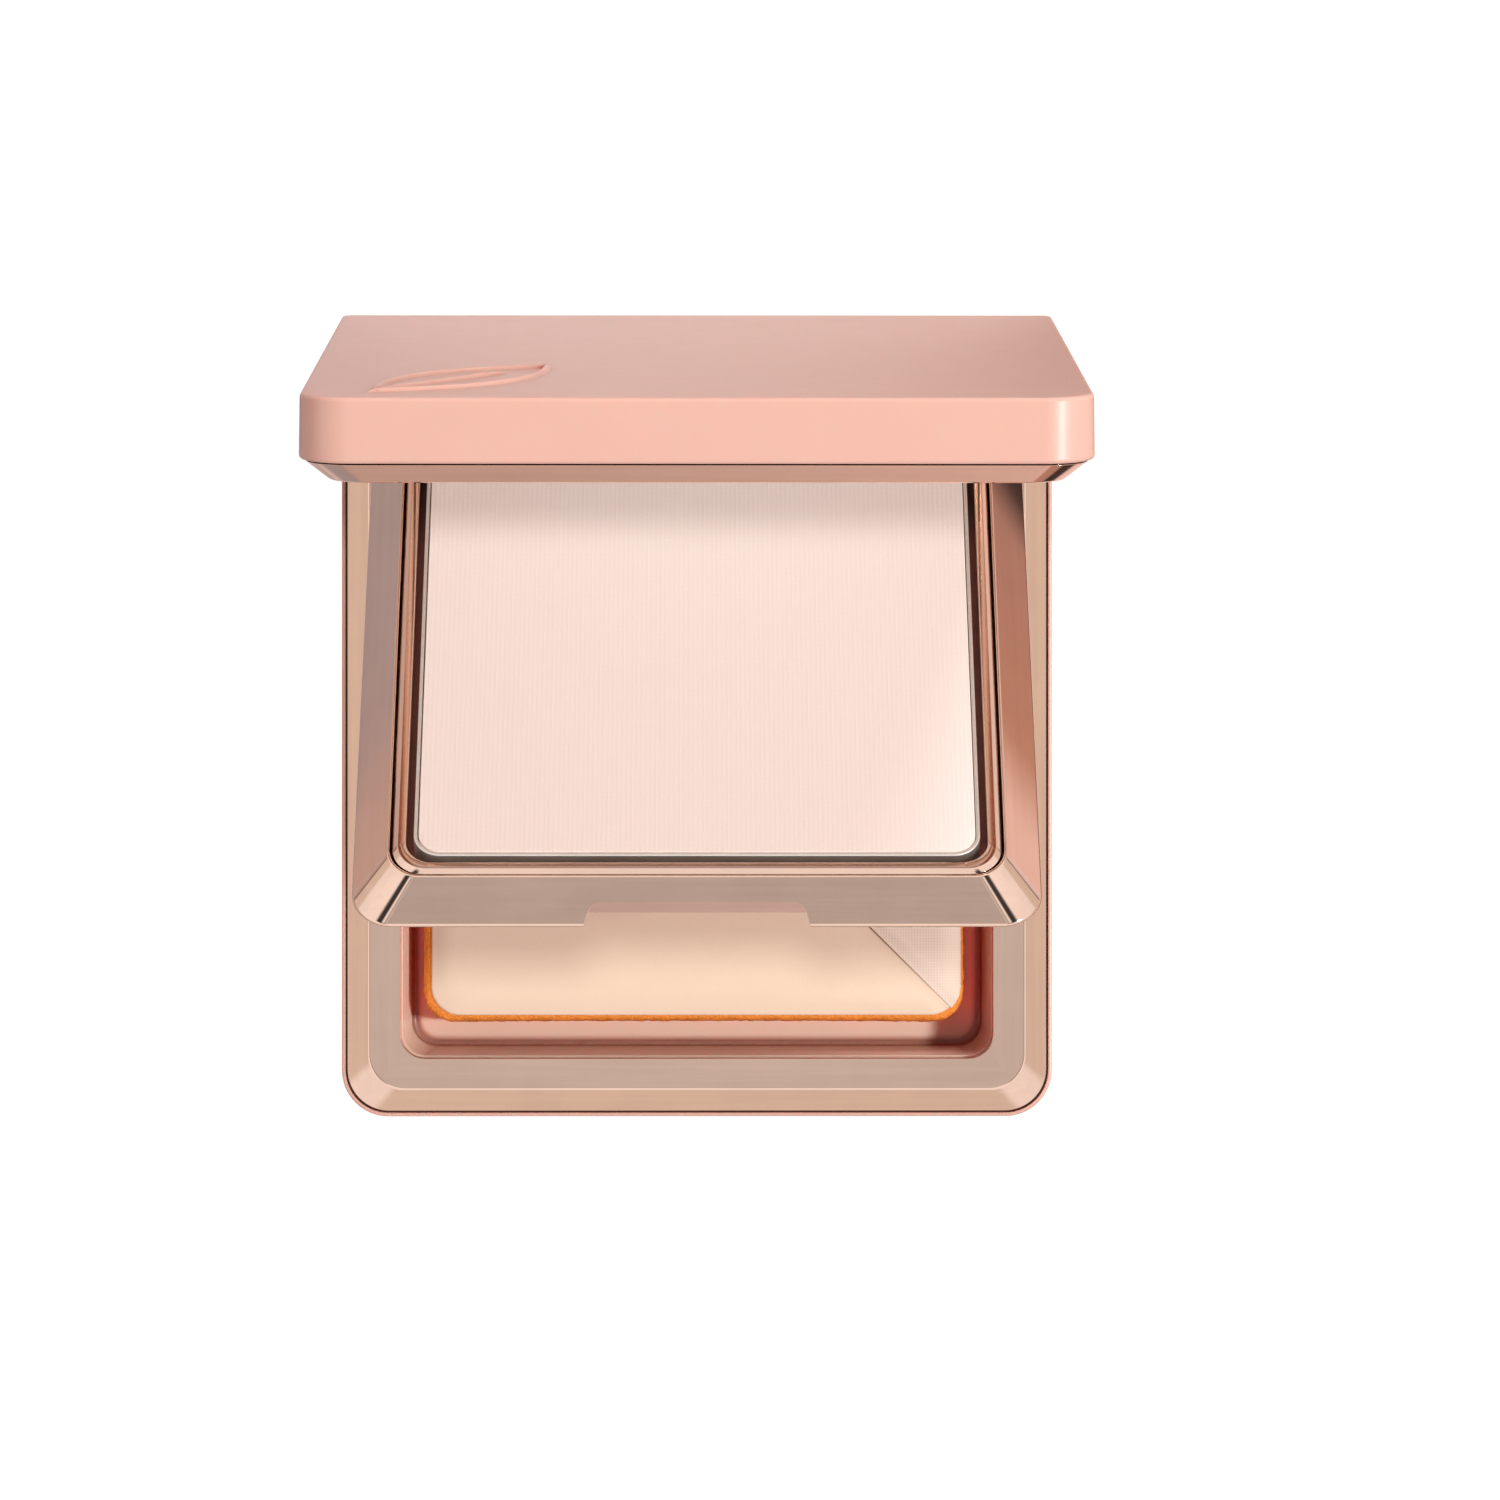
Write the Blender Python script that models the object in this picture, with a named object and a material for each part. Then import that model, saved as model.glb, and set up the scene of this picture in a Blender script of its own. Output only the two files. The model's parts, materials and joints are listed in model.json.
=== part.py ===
"""Powder compact: a square three-tier case with a puff well, a powder tray and a mirror lid.

The case stands on the XY plane with its hinge along the back edge, which is +Y, and its front at -Y.
Lengths below are in millimetres and become metres where a mesh is made. Every piece is modelled with
the case closed. The tray and the lid hang from two empties on the hinge axis, which turn them open.
"""
import math

import bmesh
import bpy
from mathutils import Vector

MM = 0.001

# The closed case
CASE_HALF = 34.0
CASE_CORNER = 4.45
CASE_BACK_CORNER = 1.0       # the case's two corners beside the hinge are tighter
RIM_Z = 10.4                 # the base's flat rim, which the tray lies on
SEAT_Z = 10.6                # underside of the tray's and the lid's bezels
CASE_TOP = 18.2
WALL = 1.5
FLOOR = 1.2
GAP = 0.2                    # between pieces that rest on each other
EDGE = 0.8                   # rounding of the case's bottom edge
LID_EDGE = 0.5               # rounding of its top edge

# The hinge
HINGE_Y = 33.4
HINGE_Z = 8.9
BARREL_RADIUS = 1.5
BARREL_ROOM = 1.8            # clearance round a barrel that turns in the base
PIN_RADIUS = 0.7
BORE_RADIUS = 0.75
LID_KNUCKLE_END = 7.0        # the knuckles' ends, from the middle of the hinge outwards
TRAY_KNUCKLE_START = 7.2
TRAY_KNUCKLE_END = 12.7
BASE_KNUCKLE_START = 12.9
BASE_KNUCKLE_END = 19.0
KNUCKLE_GAP = 0.2
LID_ARM_FRONT = 32.2         # the lid's arm, thin and flush so that it clears the base when wide open
LID_ARM_BACK = 33.7
TRAY_OPEN = 40.0             # degrees from closed
LID_OPEN = 80.0

# The bezels
BEZEL_CORNER = 4.0
BEZEL_FOOT_HALF = 33.49      # where a bezel meets its shell
RIM_HALF = 31.3              # outer edge of the base's flat rim
RIM_CORNER = 3.4
WELL_HALF = 28.3
WELL_CORNER = 2.4
BASE_REVEAL_Z = 8.63
LID_WAIST_HALF = 31.5
LID_REVEAL_Z = 12.4

# The tray
TRAY_HALF = 30.75
TRAY_CORNER = 3.7
TRAY_BEVEL = 3.27            # width and height of the 45 degree slope
TRAY_TOP_CORNER = 3.0
RING_HALF = 27.15
RING_WIDTH = 1.25
RING_CORNER = 2.9
PAN_HALF = 25.4
PAN_CORNER = 2.4
PAN_WALL = 0.35
PAN_TOP = 13.95
NOTCH_FOOT_HALF = 10.65      # the finger notch in the front of the tray
NOTCH_TOP_HALF = 9.3
NOTCH_HEIGHT = 1.65
NOTCH_BACK = 29.1

# The mirror and the puff
MIRROR_HALF = 28.5
MIRROR_CORNER = 2.6
MIRROR_Z = 14.95
MIRROR_THICK = 1.2
PUFF_HALF = 26.0
PUFF_CORNER = 3.0
PUFF_X = -0.3
PUFF_Y = 0.9
WELL_FLOOR_Z = 3.2

# Magnets and keepers
MAGNET_X = 22.0
MAGNET_Y = -30.65
BASE_MAGNET_RADIUS = 1.5
LID_MAGNET_RADIUS = 1.2
KEEPER_X = 20.0
KEEPER_Y = -28.75
KEEPER_LENGTH = 9.8
KEEPER_WIDTH = 1.4
KEEPER_THICK = 0.7

# The label on the underside, in front of the middle
LABEL_HALF = 19.0
LABEL_FRONT = -26.0
LABEL_BACK = -9.0
LABEL_THICK = 0.15
LABEL_RECESS = 0.3

# The raised leaf on the lid
LEAF_X = -20.4
LEAF_Y = -20.5
LEAF_HALF_LENGTH = 11.5
LEAF_HALF_WIDTH = 4.6
LEAF_TURN = 52.0             # degrees of the leaf's axis from +X
LEAF_RIB = 0.35
LEAF_STEPS = 14

# How finely round shapes are divided
CORNER_STEPS = 5
BARREL_SIDES = 16


def clear_scene():
    for thing in list(bpy.data.objects):
        bpy.data.objects.remove(thing, do_unlink=True)


def make_material(name, colour, roughness, metallic):
    material = bpy.data.materials.new(name)
    material.use_nodes = True
    shader = material.node_tree.nodes["Principled BSDF"]
    shader.inputs["Base Color"].default_value = (*colour, 1.0)
    shader.inputs["Roughness"].default_value = roughness
    shader.inputs["Metallic"].default_value = metallic
    return material


def case_corner(front):
    """The radii of a line round the case at its front and back corners, from the front one."""
    return front, max(front - CASE_CORNER + CASE_BACK_CORNER, 0.3)


def rounded_square(half, corner, z, steps=CORNER_STEPS):
    """The points of a square with round corners, anticlockwise from above, starting at the back right.

    The corner radius is one number, or a pair for the front and the back corners.
    """
    front, back = corner if isinstance(corner, tuple) else (corner, corner)
    points = []
    for quarter, radius in enumerate((back, back, front, front)):
        turn = quarter * math.pi / 2
        middle = Vector((half - radius, half - radius, 0.0))
        for step in range(steps + 1):
            angle = step / steps * math.pi / 2
            arm = Vector((math.cos(angle), math.sin(angle), 0.0)) * radius
            point = middle + arm
            x = point.x * math.cos(turn) - point.y * math.sin(turn)
            y = point.x * math.sin(turn) + point.y * math.cos(turn)
            points.append(Vector((x, y, z)))
    return points


def loft(sections, closed=False):
    """A mesh through rounded squares, each given as (half width, height, corner radius or radii).

    Sections run anticlockwise round the profile as seen with the axis on the left, so that faces
    point out. A closed loft is a ring. An open one starts and ends with a flat cap.
    """
    mesh = bmesh.new()
    loops = []
    for half, z, corner in sections:
        loops.append([mesh.verts.new(point) for point in rounded_square(half, corner, z)])
    pairs = list(zip(loops, loops[1:]))
    if closed:
        pairs.append((loops[-1], loops[0]))
    for lower, upper in pairs:
        count = len(lower)
        for i in range(count):
            j = (i + 1) % count
            mesh.faces.new((lower[i], lower[j], upper[j], upper[i]))
    if not closed:
        mesh.faces.new(list(reversed(loops[0])))
        mesh.faces.new(loops[-1])
    return mesh


def prism(outline, direction, start, end):
    """A straight solid whose outline lies across X ('x', points are y, z), Y ('y', x, z) or Z."""
    places = {
        "x": lambda a, b, along: Vector((along, a, b)),
        "y": lambda a, b, along: Vector((a, along, b)),
        "z": lambda a, b, along: Vector((a, b, along)),
    }
    place = places[direction]
    mesh = bmesh.new()
    first = [mesh.verts.new(place(a, b, start)) for a, b in outline]
    last = [mesh.verts.new(place(a, b, end)) for a, b in outline]
    count = len(outline)
    for i in range(count):
        j = (i + 1) % count
        mesh.faces.new((first[i], first[j], last[j], last[i]))
    mesh.faces.new(list(reversed(first)))
    mesh.faces.new(last)
    bmesh.ops.recalc_face_normals(mesh, faces=mesh.faces)
    return mesh


def box(low, high):
    outline = [(low[0], low[1]), (high[0], low[1]), (high[0], high[1]), (low[0], high[1])]
    return prism(outline, "z", low[2], high[2])


def circle(centre, radius, sides=BARREL_SIDES):
    turn = 2 * math.pi / sides
    return [(centre[0] + radius * math.cos(i * turn), centre[1] + radius * math.sin(i * turn))
            for i in range(sides)]


def hinge_cylinder(radius, start, end):
    return prism(circle((HINGE_Y, HINGE_Z), radius), "x", start, end)


def post(x, y, radius, low, high):
    return prism(circle((x, y), radius), "z", low, high)


def on_both_sides(make_mesh, start, end):
    """The same mesh twice, from start to end and mirrored to -end to -start."""
    return [make_mesh(start, end), make_mesh(-end, -start)]


def join(meshes):
    """One mesh that holds copies of several."""
    joined = bmesh.new()
    for mesh in meshes:
        copies = {vert: joined.verts.new(vert.co) for vert in mesh.verts}
        for face in mesh.faces:
            joined.faces.new([copies[vert] for vert in face.verts])
        mesh.free()
    return joined


def place_object(name, mesh, axis):
    """An object from a mesh in closed-case millimetres, hung from a hinge empty if there is one."""
    bmesh.ops.scale(mesh, vec=(MM, MM, MM), verts=mesh.verts)
    data = bpy.data.meshes.new(name)
    mesh.to_mesh(data)
    mesh.free()
    thing = bpy.data.objects.new(name, data)
    bpy.context.collection.objects.link(thing)
    if axis is not None:
        thing.parent = axis
        thing.location = Vector((0.0, -HINGE_Y, -HINGE_Z)) * MM
    return thing


def piece(name, mesh, material, axis=None):
    thing = place_object(name, mesh, axis)
    thing.data.materials.append(material)
    thing.data.shade_smooth()
    thing.data.set_sharp_from_angle(angle=math.radians(30))
    return thing


def shape(target, operation, meshes, label):
    """Adds to a piece ('UNION') or cuts it ('DIFFERENCE') with hidden helper shapes."""
    helper = place_object(f"{target.name}_{label}", join(meshes), target.parent)
    helper.hide_render = True
    helper.display_type = "WIRE"
    modifier = target.modifiers.new(label, "BOOLEAN")
    modifier.operation = operation
    modifier.solver = "EXACT"
    modifier.object = helper


def make_hinge_axis(name, degrees, parent=None):
    """An empty on the hinge axis. Turning it by a negative angle about X lifts the front."""
    axis = bpy.data.objects.new(name, None)
    bpy.context.collection.objects.link(axis)
    axis.rotation_euler.x = -math.radians(degrees)
    if parent is None:
        axis.location = Vector((0.0, HINGE_Y, HINGE_Z)) * MM
    else:
        axis.parent = parent
    return axis


def add_base_shell(material):
    inner = CASE_HALF - WALL
    inner_corner = CASE_CORNER - WALL
    top = BASE_REVEAL_Z - GAP
    shell = piece("base_shell", loft([
        (CASE_HALF - EDGE, 0.0, case_corner(CASE_CORNER - EDGE)),
        (CASE_HALF - EDGE * 0.3, EDGE * 0.3, case_corner(CASE_CORNER - EDGE * 0.3)),
        (CASE_HALF, EDGE, case_corner(CASE_CORNER)),
        (CASE_HALF, top - GAP, case_corner(CASE_CORNER)),
        (CASE_HALF - GAP, top, case_corner(CASE_CORNER - GAP)),
        (inner, top, inner_corner),
        (inner, FLOOR, inner_corner),
    ]), material)

    boss_top = 5.6
    boss_radius = 2.1
    bosses = [post(side * MAGNET_X, MAGNET_Y, boss_radius, FLOOR / 2, boss_top) for side in (-1, 1)]
    shape(shell, "UNION", bosses, "bosses")

    arm_front = HINGE_Y - BARREL_RADIUS
    arm_foot = 5.0
    arm_outline = [
        (arm_front, HINGE_Z),
        (arm_front, arm_foot + 1.0),
        (CASE_HALF - WALL / 2, arm_foot),
        (CASE_HALF, arm_foot),
        (HINGE_Y + BARREL_RADIUS, arm_foot + 1.6),
        (HINGE_Y + BARREL_RADIUS, HINGE_Z),
    ]
    arms = on_both_sides(lambda a, b: prism(arm_outline, "x", a, b), BASE_KNUCKLE_START, BASE_KNUCKLE_END)
    shape(shell, "UNION", arms, "knuckle_arms")
    barrels = on_both_sides(lambda a, b: hinge_cylinder(BARREL_RADIUS, a, b),
                            BASE_KNUCKLE_START, BASE_KNUCKLE_END)
    shape(shell, "UNION", barrels, "knuckles")
    room_end = BASE_KNUCKLE_START
    shape(shell, "DIFFERENCE", [hinge_cylinder(BARREL_ROOM, -room_end, room_end)], "knuckle_room")
    shape(shell, "DIFFERENCE", [hinge_cylinder(BORE_RADIUS, -CASE_HALF, CASE_HALF)], "pin_bore")
    recess = box((-LABEL_HALF - GAP, LABEL_FRONT - GAP, -1.0),
                 (LABEL_HALF + GAP, LABEL_BACK + GAP, LABEL_RECESS))
    shape(shell, "DIFFERENCE", [recess], "label_recess")


def tray_arm_notches():
    """Room behind the well for the two arms that join the tray to the hinge."""
    floor = 8.65
    return on_both_sides(
        lambda a, b: box((a, WELL_HALF - 2.5, floor), (b, CASE_HALF + 2.0, RIM_Z + 1.0)),
        TRAY_KNUCKLE_START - KNUCKLE_GAP, TRAY_KNUCKLE_END + KNUCKLE_GAP)


def add_base_bezel(material):
    tongue_half = CASE_HALF - WALL - GAP
    tongue_inner = tongue_half - 1.4
    tongue_z = 7.6
    under_z = 9.5
    bezel = piece("base_bezel", loft([
        (BEZEL_FOOT_HALF, BASE_REVEAL_Z, case_corner(BEZEL_CORNER)),
        (RIM_HALF, RIM_Z, case_corner(RIM_CORNER)),
        (WELL_HALF + 0.1, RIM_Z, WELL_CORNER + 0.1),
        (WELL_HALF, RIM_Z - 0.1, WELL_CORNER),
        (WELL_HALF, under_z, WELL_CORNER),
        (tongue_inner, under_z, RIM_CORNER - 1.0),
        (tongue_inner, tongue_z, RIM_CORNER - 1.0),
        (tongue_half, tongue_z, RIM_CORNER - 0.6),
        (tongue_half, BASE_REVEAL_Z, RIM_CORNER - 0.6),
    ], closed=True), material)
    hinge_room = box((-BASE_KNUCKLE_END - KNUCKLE_GAP, RIM_HALF + 0.25, tongue_z - 1.0),
                     (BASE_KNUCKLE_END + KNUCKLE_GAP, CASE_HALF + 2.0, RIM_Z + 1.0))
    shape(bezel, "DIFFERENCE", [hinge_room], "hinge_room")
    shape(bezel, "DIFFERENCE", tray_arm_notches(), "tray_arm_notches")


def add_puff_well(material):
    top = 9.3
    flange_half = 30.7
    wall = 0.8
    fillet = 1.2
    wall_foot_half = WELL_HALF - 0.9
    floor_half = wall_foot_half - fillet
    well = piece("puff_well", loft([
        (floor_half + 0.2, WELL_FLOOR_Z - wall, WELL_CORNER),
        (wall_foot_half + wall, WELL_FLOOR_Z + fillet * 0.6, WELL_CORNER + wall),
        (WELL_HALF + wall, top - wall, WELL_CORNER + wall),
        (flange_half, top - wall, RIM_CORNER - 1.2),
        (flange_half, top, RIM_CORNER - 1.2),
        (WELL_HALF - 0.1, top, WELL_CORNER),
        (wall_foot_half, WELL_FLOOR_Z + fillet, WELL_CORNER),
        (wall_foot_half - fillet * 0.3, WELL_FLOOR_Z + fillet * 0.3, WELL_CORNER),
        (floor_half, WELL_FLOOR_Z, WELL_CORNER),
    ]), material)
    shape(well, "DIFFERENCE", tray_arm_notches(), "tray_arm_notches")


def add_base_insides(steel, paper):
    plate_half = 24.0
    plate_z = FLOOR + 0.15
    plate_thick = 0.75
    piece("weight_plate", loft([
        (plate_half, plate_z, 2.0),
        (plate_half, plate_z + plate_thick, 2.0),
    ]), steel)
    label_z = LABEL_RECESS - LABEL_THICK - 0.05
    piece("base_label", box((-LABEL_HALF, LABEL_FRONT, label_z),
                            (LABEL_HALF, LABEL_BACK, label_z + LABEL_THICK)), paper)
    magnet_z = 5.75
    magnet_thick = 1.5
    for side, place in ((-1, "left"), (1, "right")):
        magnet = post(side * MAGNET_X, MAGNET_Y, BASE_MAGNET_RADIUS, magnet_z, magnet_z + magnet_thick)
        piece(f"base_magnet_{place}", magnet, steel)
    piece("hinge_pin", hinge_cylinder(PIN_RADIUS, -BASE_KNUCKLE_END, BASE_KNUCKLE_END), steel)


def move(mesh, x, y):
    bmesh.ops.translate(mesh, vec=(x, y, 0.0), verts=mesh.verts)
    return mesh


def puff_layer(half, low, high, edge):
    """One layer of the puff, with its upper and lower edges eased."""
    corner = PUFF_CORNER
    return move(loft([
        (half - edge, low, corner - edge),
        (half, low + edge, corner),
        (half, high - edge, corner),
        (half - edge, high, corner - edge),
    ]), PUFF_X, PUFF_Y)


def half_beyond_diagonal(points):
    """The part of a square outline on the far side of its front-right to back-left diagonal."""
    kept = [(point.x, point.y) for point in points if point.x + point.y > 0.3]
    start = min(range(len(kept)), key=lambda i: kept[i][1])
    return kept[start:] + kept[:start]


def add_puff(foam, velour, weave):
    piece("puff_velour_face", puff_layer(PUFF_HALF - 0.3, 3.35, 4.05, 0.2), velour)
    piece("puff_foam", puff_layer(PUFF_HALF, 4.15, 8.1, 0.5), foam)
    piece("puff_back_cover", puff_layer(PUFF_HALF - 0.3, 8.2, 8.8, 0.2), velour)
    pocket_half = PUFF_HALF - 0.6
    outline = half_beyond_diagonal(rounded_square(pocket_half, PUFF_CORNER, 0.0))
    pocket = move(prism(outline, "z", 8.9, 9.2), PUFF_X, PUFF_Y)
    piece("puff_finger_pocket", pocket, weave)


def add_tray(tray_axis, metal, plastic, aluminium, powder, glue, steel):
    slope_top = SEAT_Z + TRAY_BEVEL
    inner = RING_HALF + 0.15
    bezel = piece("tray_bezel", loft([
        (TRAY_HALF, SEAT_Z, TRAY_CORNER),
        (TRAY_HALF - TRAY_BEVEL, slope_top, TRAY_TOP_CORNER),
        (inner, slope_top - 0.05, RING_CORNER + 0.05),
        (inner, SEAT_Z, RING_CORNER + 0.05),
    ], closed=True), metal, tray_axis)
    notch_reach = 2.0
    foot = NOTCH_FOOT_HALF + (NOTCH_FOOT_HALF - NOTCH_TOP_HALF) / NOTCH_HEIGHT
    notch = prism([(-foot, SEAT_Z - 1.0), (foot, SEAT_Z - 1.0),
                   (NOTCH_TOP_HALF, SEAT_Z + NOTCH_HEIGHT), (-NOTCH_TOP_HALF, SEAT_Z + NOTCH_HEIGHT)],
                  "y", -TRAY_HALF - notch_reach, -NOTCH_BACK)
    shape(bezel, "DIFFERENCE", [notch], "finger_notch")

    slot_half_length = KEEPER_LENGTH / 2 + 0.15
    slot_half_width = KEEPER_WIDTH / 2 + 0.15
    slot_top = SEAT_Z + KEEPER_THICK + 0.2
    slots = [box((x - slot_half_length, KEEPER_Y - slot_half_width, SEAT_Z - 1.0),
                 (x + slot_half_length, KEEPER_Y + slot_half_width, slot_top))
             for x in (-KEEPER_X, KEEPER_X)]
    shape(bezel, "DIFFERENCE", slots, "keeper_slots")
    for side, place in ((-1, "left"), (1, "right")):
        x = side * KEEPER_X
        keeper = box((x - KEEPER_LENGTH / 2, KEEPER_Y - KEEPER_WIDTH / 2, SEAT_Z + 0.1),
                     (x + KEEPER_LENGTH / 2, KEEPER_Y + KEEPER_WIDTH / 2, SEAT_Z + 0.1 + KEEPER_THICK))
        piece(f"tray_keeper_{place}", keeper, steel, tray_axis)

    frame_half = WELL_HALF - 0.4
    frame_low = 9.7
    frame_top = 10.5
    frame = piece("tray_frame", loft([
        (frame_half, frame_low, WELL_CORNER),
        (frame_half, frame_top, WELL_CORNER),
    ]), plastic, tray_axis)
    arm_low = 8.95
    arm_top = HINGE_Z + 1.3
    arm_front = frame_half - 1.0
    arms = on_both_sides(lambda a, b: box((a, arm_front, arm_low), (b, HINGE_Y, arm_top)),
                         TRAY_KNUCKLE_START, TRAY_KNUCKLE_END)
    shape(frame, "UNION", arms, "arms")
    barrels = on_both_sides(lambda a, b: hinge_cylinder(BARREL_RADIUS, a, b),
                            TRAY_KNUCKLE_START, TRAY_KNUCKLE_END)
    shape(frame, "UNION", barrels, "knuckles")
    bores = on_both_sides(lambda a, b: hinge_cylinder(BORE_RADIUS, a, b),
                          TRAY_KNUCKLE_START - 1.0, TRAY_KNUCKLE_END + 1.0)
    shape(frame, "DIFFERENCE", bores, "pin_bores")

    ring_low = frame_top + 0.1
    ring_top = slope_top - 0.02
    ring_inner = RING_HALF - RING_WIDTH
    piece("tray_pan_ring", loft([
        (RING_HALF, ring_low, RING_CORNER),
        (RING_HALF, ring_top - 0.3, RING_CORNER),
        (RING_HALF - 0.45, ring_top, RING_CORNER - 0.2),
        (ring_inner + 0.1, ring_top, RING_CORNER - 0.4),
        (ring_inner, ring_top - 0.1, RING_CORNER - 0.5),
        (ring_inner, ring_low, RING_CORNER - 0.5),
    ], closed=True), metal, tray_axis)

    glue_thick = 0.15
    piece("pan_adhesive", loft([
        (PAN_HALF - 4.0, ring_low, PAN_CORNER),
        (PAN_HALF - 4.0, ring_low + glue_thick, PAN_CORNER),
    ]), glue, tray_axis)

    pan_low = ring_low + glue_thick + 0.1
    powder_low = pan_low + PAN_WALL
    piece("powder_pan", loft([
        (PAN_HALF - 0.5, pan_low, PAN_CORNER - 0.5),
        (PAN_HALF, pan_low + 0.5, PAN_CORNER),
        (PAN_HALF, PAN_TOP, PAN_CORNER),
        (PAN_HALF - PAN_WALL, PAN_TOP, PAN_CORNER - PAN_WALL),
        (PAN_HALF - PAN_WALL, powder_low + 0.4, PAN_CORNER - PAN_WALL),
        (PAN_HALF - PAN_WALL - 0.4, powder_low, PAN_CORNER - PAN_WALL - 0.4),
    ]), aluminium, tray_axis)
    cake_half = PAN_HALF - PAN_WALL - 0.08
    cake_corner = PAN_CORNER - PAN_WALL - 0.08
    piece("powder_cake", loft([
        (cake_half - 0.5, powder_low + 0.08, cake_corner - 0.5),
        (cake_half, powder_low + 0.58, cake_corner),
        (cake_half, PAN_TOP - 0.15, cake_corner),
        (cake_half - 0.2, PAN_TOP + 0.02, cake_corner - 0.2),
    ]), powder, tray_axis)


def leaf_outline():
    """Points along a pointed leaf: one edge out, the other edge back."""
    points = []
    for step in range(2 * LEAF_STEPS):
        if step < LEAF_STEPS:
            along = -1.0 + 2.0 * step / LEAF_STEPS
            side = 1.0
        else:
            along = 1.0 - 2.0 * (step - LEAF_STEPS) / LEAF_STEPS
            side = -1.0
        points.append((along * LEAF_HALF_LENGTH, side * LEAF_HALF_WIDTH * (1.0 - along * along)))
    return points


def on_lid(point):
    """A point in the leaf's own plane, placed on the lid's top."""
    turn = math.radians(LEAF_TURN)
    x, y = point
    return Vector((LEAF_X + x * math.cos(turn) - y * math.sin(turn),
                   LEAF_Y + x * math.sin(turn) + y * math.cos(turn),
                   CASE_TOP))


def rib(points, closed):
    """A square rib set on edge along a line, half of it standing above the lid."""
    mesh = bmesh.new()
    count = len(points)
    rings = []
    for i, point in enumerate(points):
        if closed:
            before, after = points[i - 1], points[(i + 1) % count]
        else:
            before, after = points[max(i - 1, 0)], points[min(i + 1, count - 1)]
        heading = (after - before).normalized()
        across = Vector((-heading.y, heading.x, 0.0)) * LEAF_RIB
        up = Vector((0.0, 0.0, LEAF_RIB))
        rings.append([mesh.verts.new(point + offset) for offset in (across, up, -across, -up)])
    pairs = list(zip(rings, rings[1:]))
    if closed:
        pairs.append((rings[-1], rings[0]))
    for first, last in pairs:
        for i in range(4):
            j = (i + 1) % 4
            mesh.faces.new((first[i], first[j], last[j], last[i]))
    if not closed:
        mesh.faces.new(list(reversed(rings[0])))
        mesh.faces.new(rings[-1])
    bmesh.ops.recalc_face_normals(mesh, faces=mesh.faces)
    return mesh


def add_lid_shell(lid_axis, material):
    foot = LID_REVEAL_Z + GAP
    draft = 0.13
    inner = CASE_HALF - WALL
    inner_corner = CASE_CORNER - WALL
    ceiling = CASE_TOP - WALL
    ease = LID_EDGE * 0.3
    shell = piece("lid_shell", loft([
        (inner, ceiling, inner_corner),
        (inner, foot, inner_corner),
        (CASE_HALF - 0.3, foot, case_corner(CASE_CORNER - 0.3)),
        (CASE_HALF, foot + 0.3, case_corner(CASE_CORNER)),
        (CASE_HALF - draft, CASE_TOP - LID_EDGE, case_corner(CASE_CORNER - draft)),
        (CASE_HALF - draft - ease, CASE_TOP - ease, case_corner(CASE_CORNER - ease)),
        (CASE_HALF - draft - LID_EDGE, CASE_TOP, case_corner(CASE_CORNER - LID_EDGE)),
    ]), material, lid_axis)

    arm_top = 15.0
    arm = box((-LID_KNUCKLE_END, LID_ARM_FRONT, HINGE_Z), (LID_KNUCKLE_END, LID_ARM_BACK, arm_top))
    shape(shell, "UNION", [arm], "arm")
    barrel = hinge_cylinder(BARREL_RADIUS, -LID_KNUCKLE_END, LID_KNUCKLE_END)
    shape(shell, "UNION", [barrel], "knuckle")
    bore = hinge_cylinder(BORE_RADIUS, -LID_KNUCKLE_END - 1.0, LID_KNUCKLE_END + 1.0)
    shape(shell, "DIFFERENCE", [bore], "pin_bore")

    outline = [on_lid(point) for point in leaf_outline()]
    shape(shell, "UNION", [rib(outline, closed=True)], "leaf_edge")
    vein_start = -LEAF_HALF_LENGTH - 1.6
    vein_end = LEAF_HALF_LENGTH * 0.55
    vein = [on_lid((vein_start, 0.0)), on_lid((vein_end, 0.0))]
    shape(shell, "UNION", [rib(vein, closed=False)], "leaf_vein")


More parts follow.
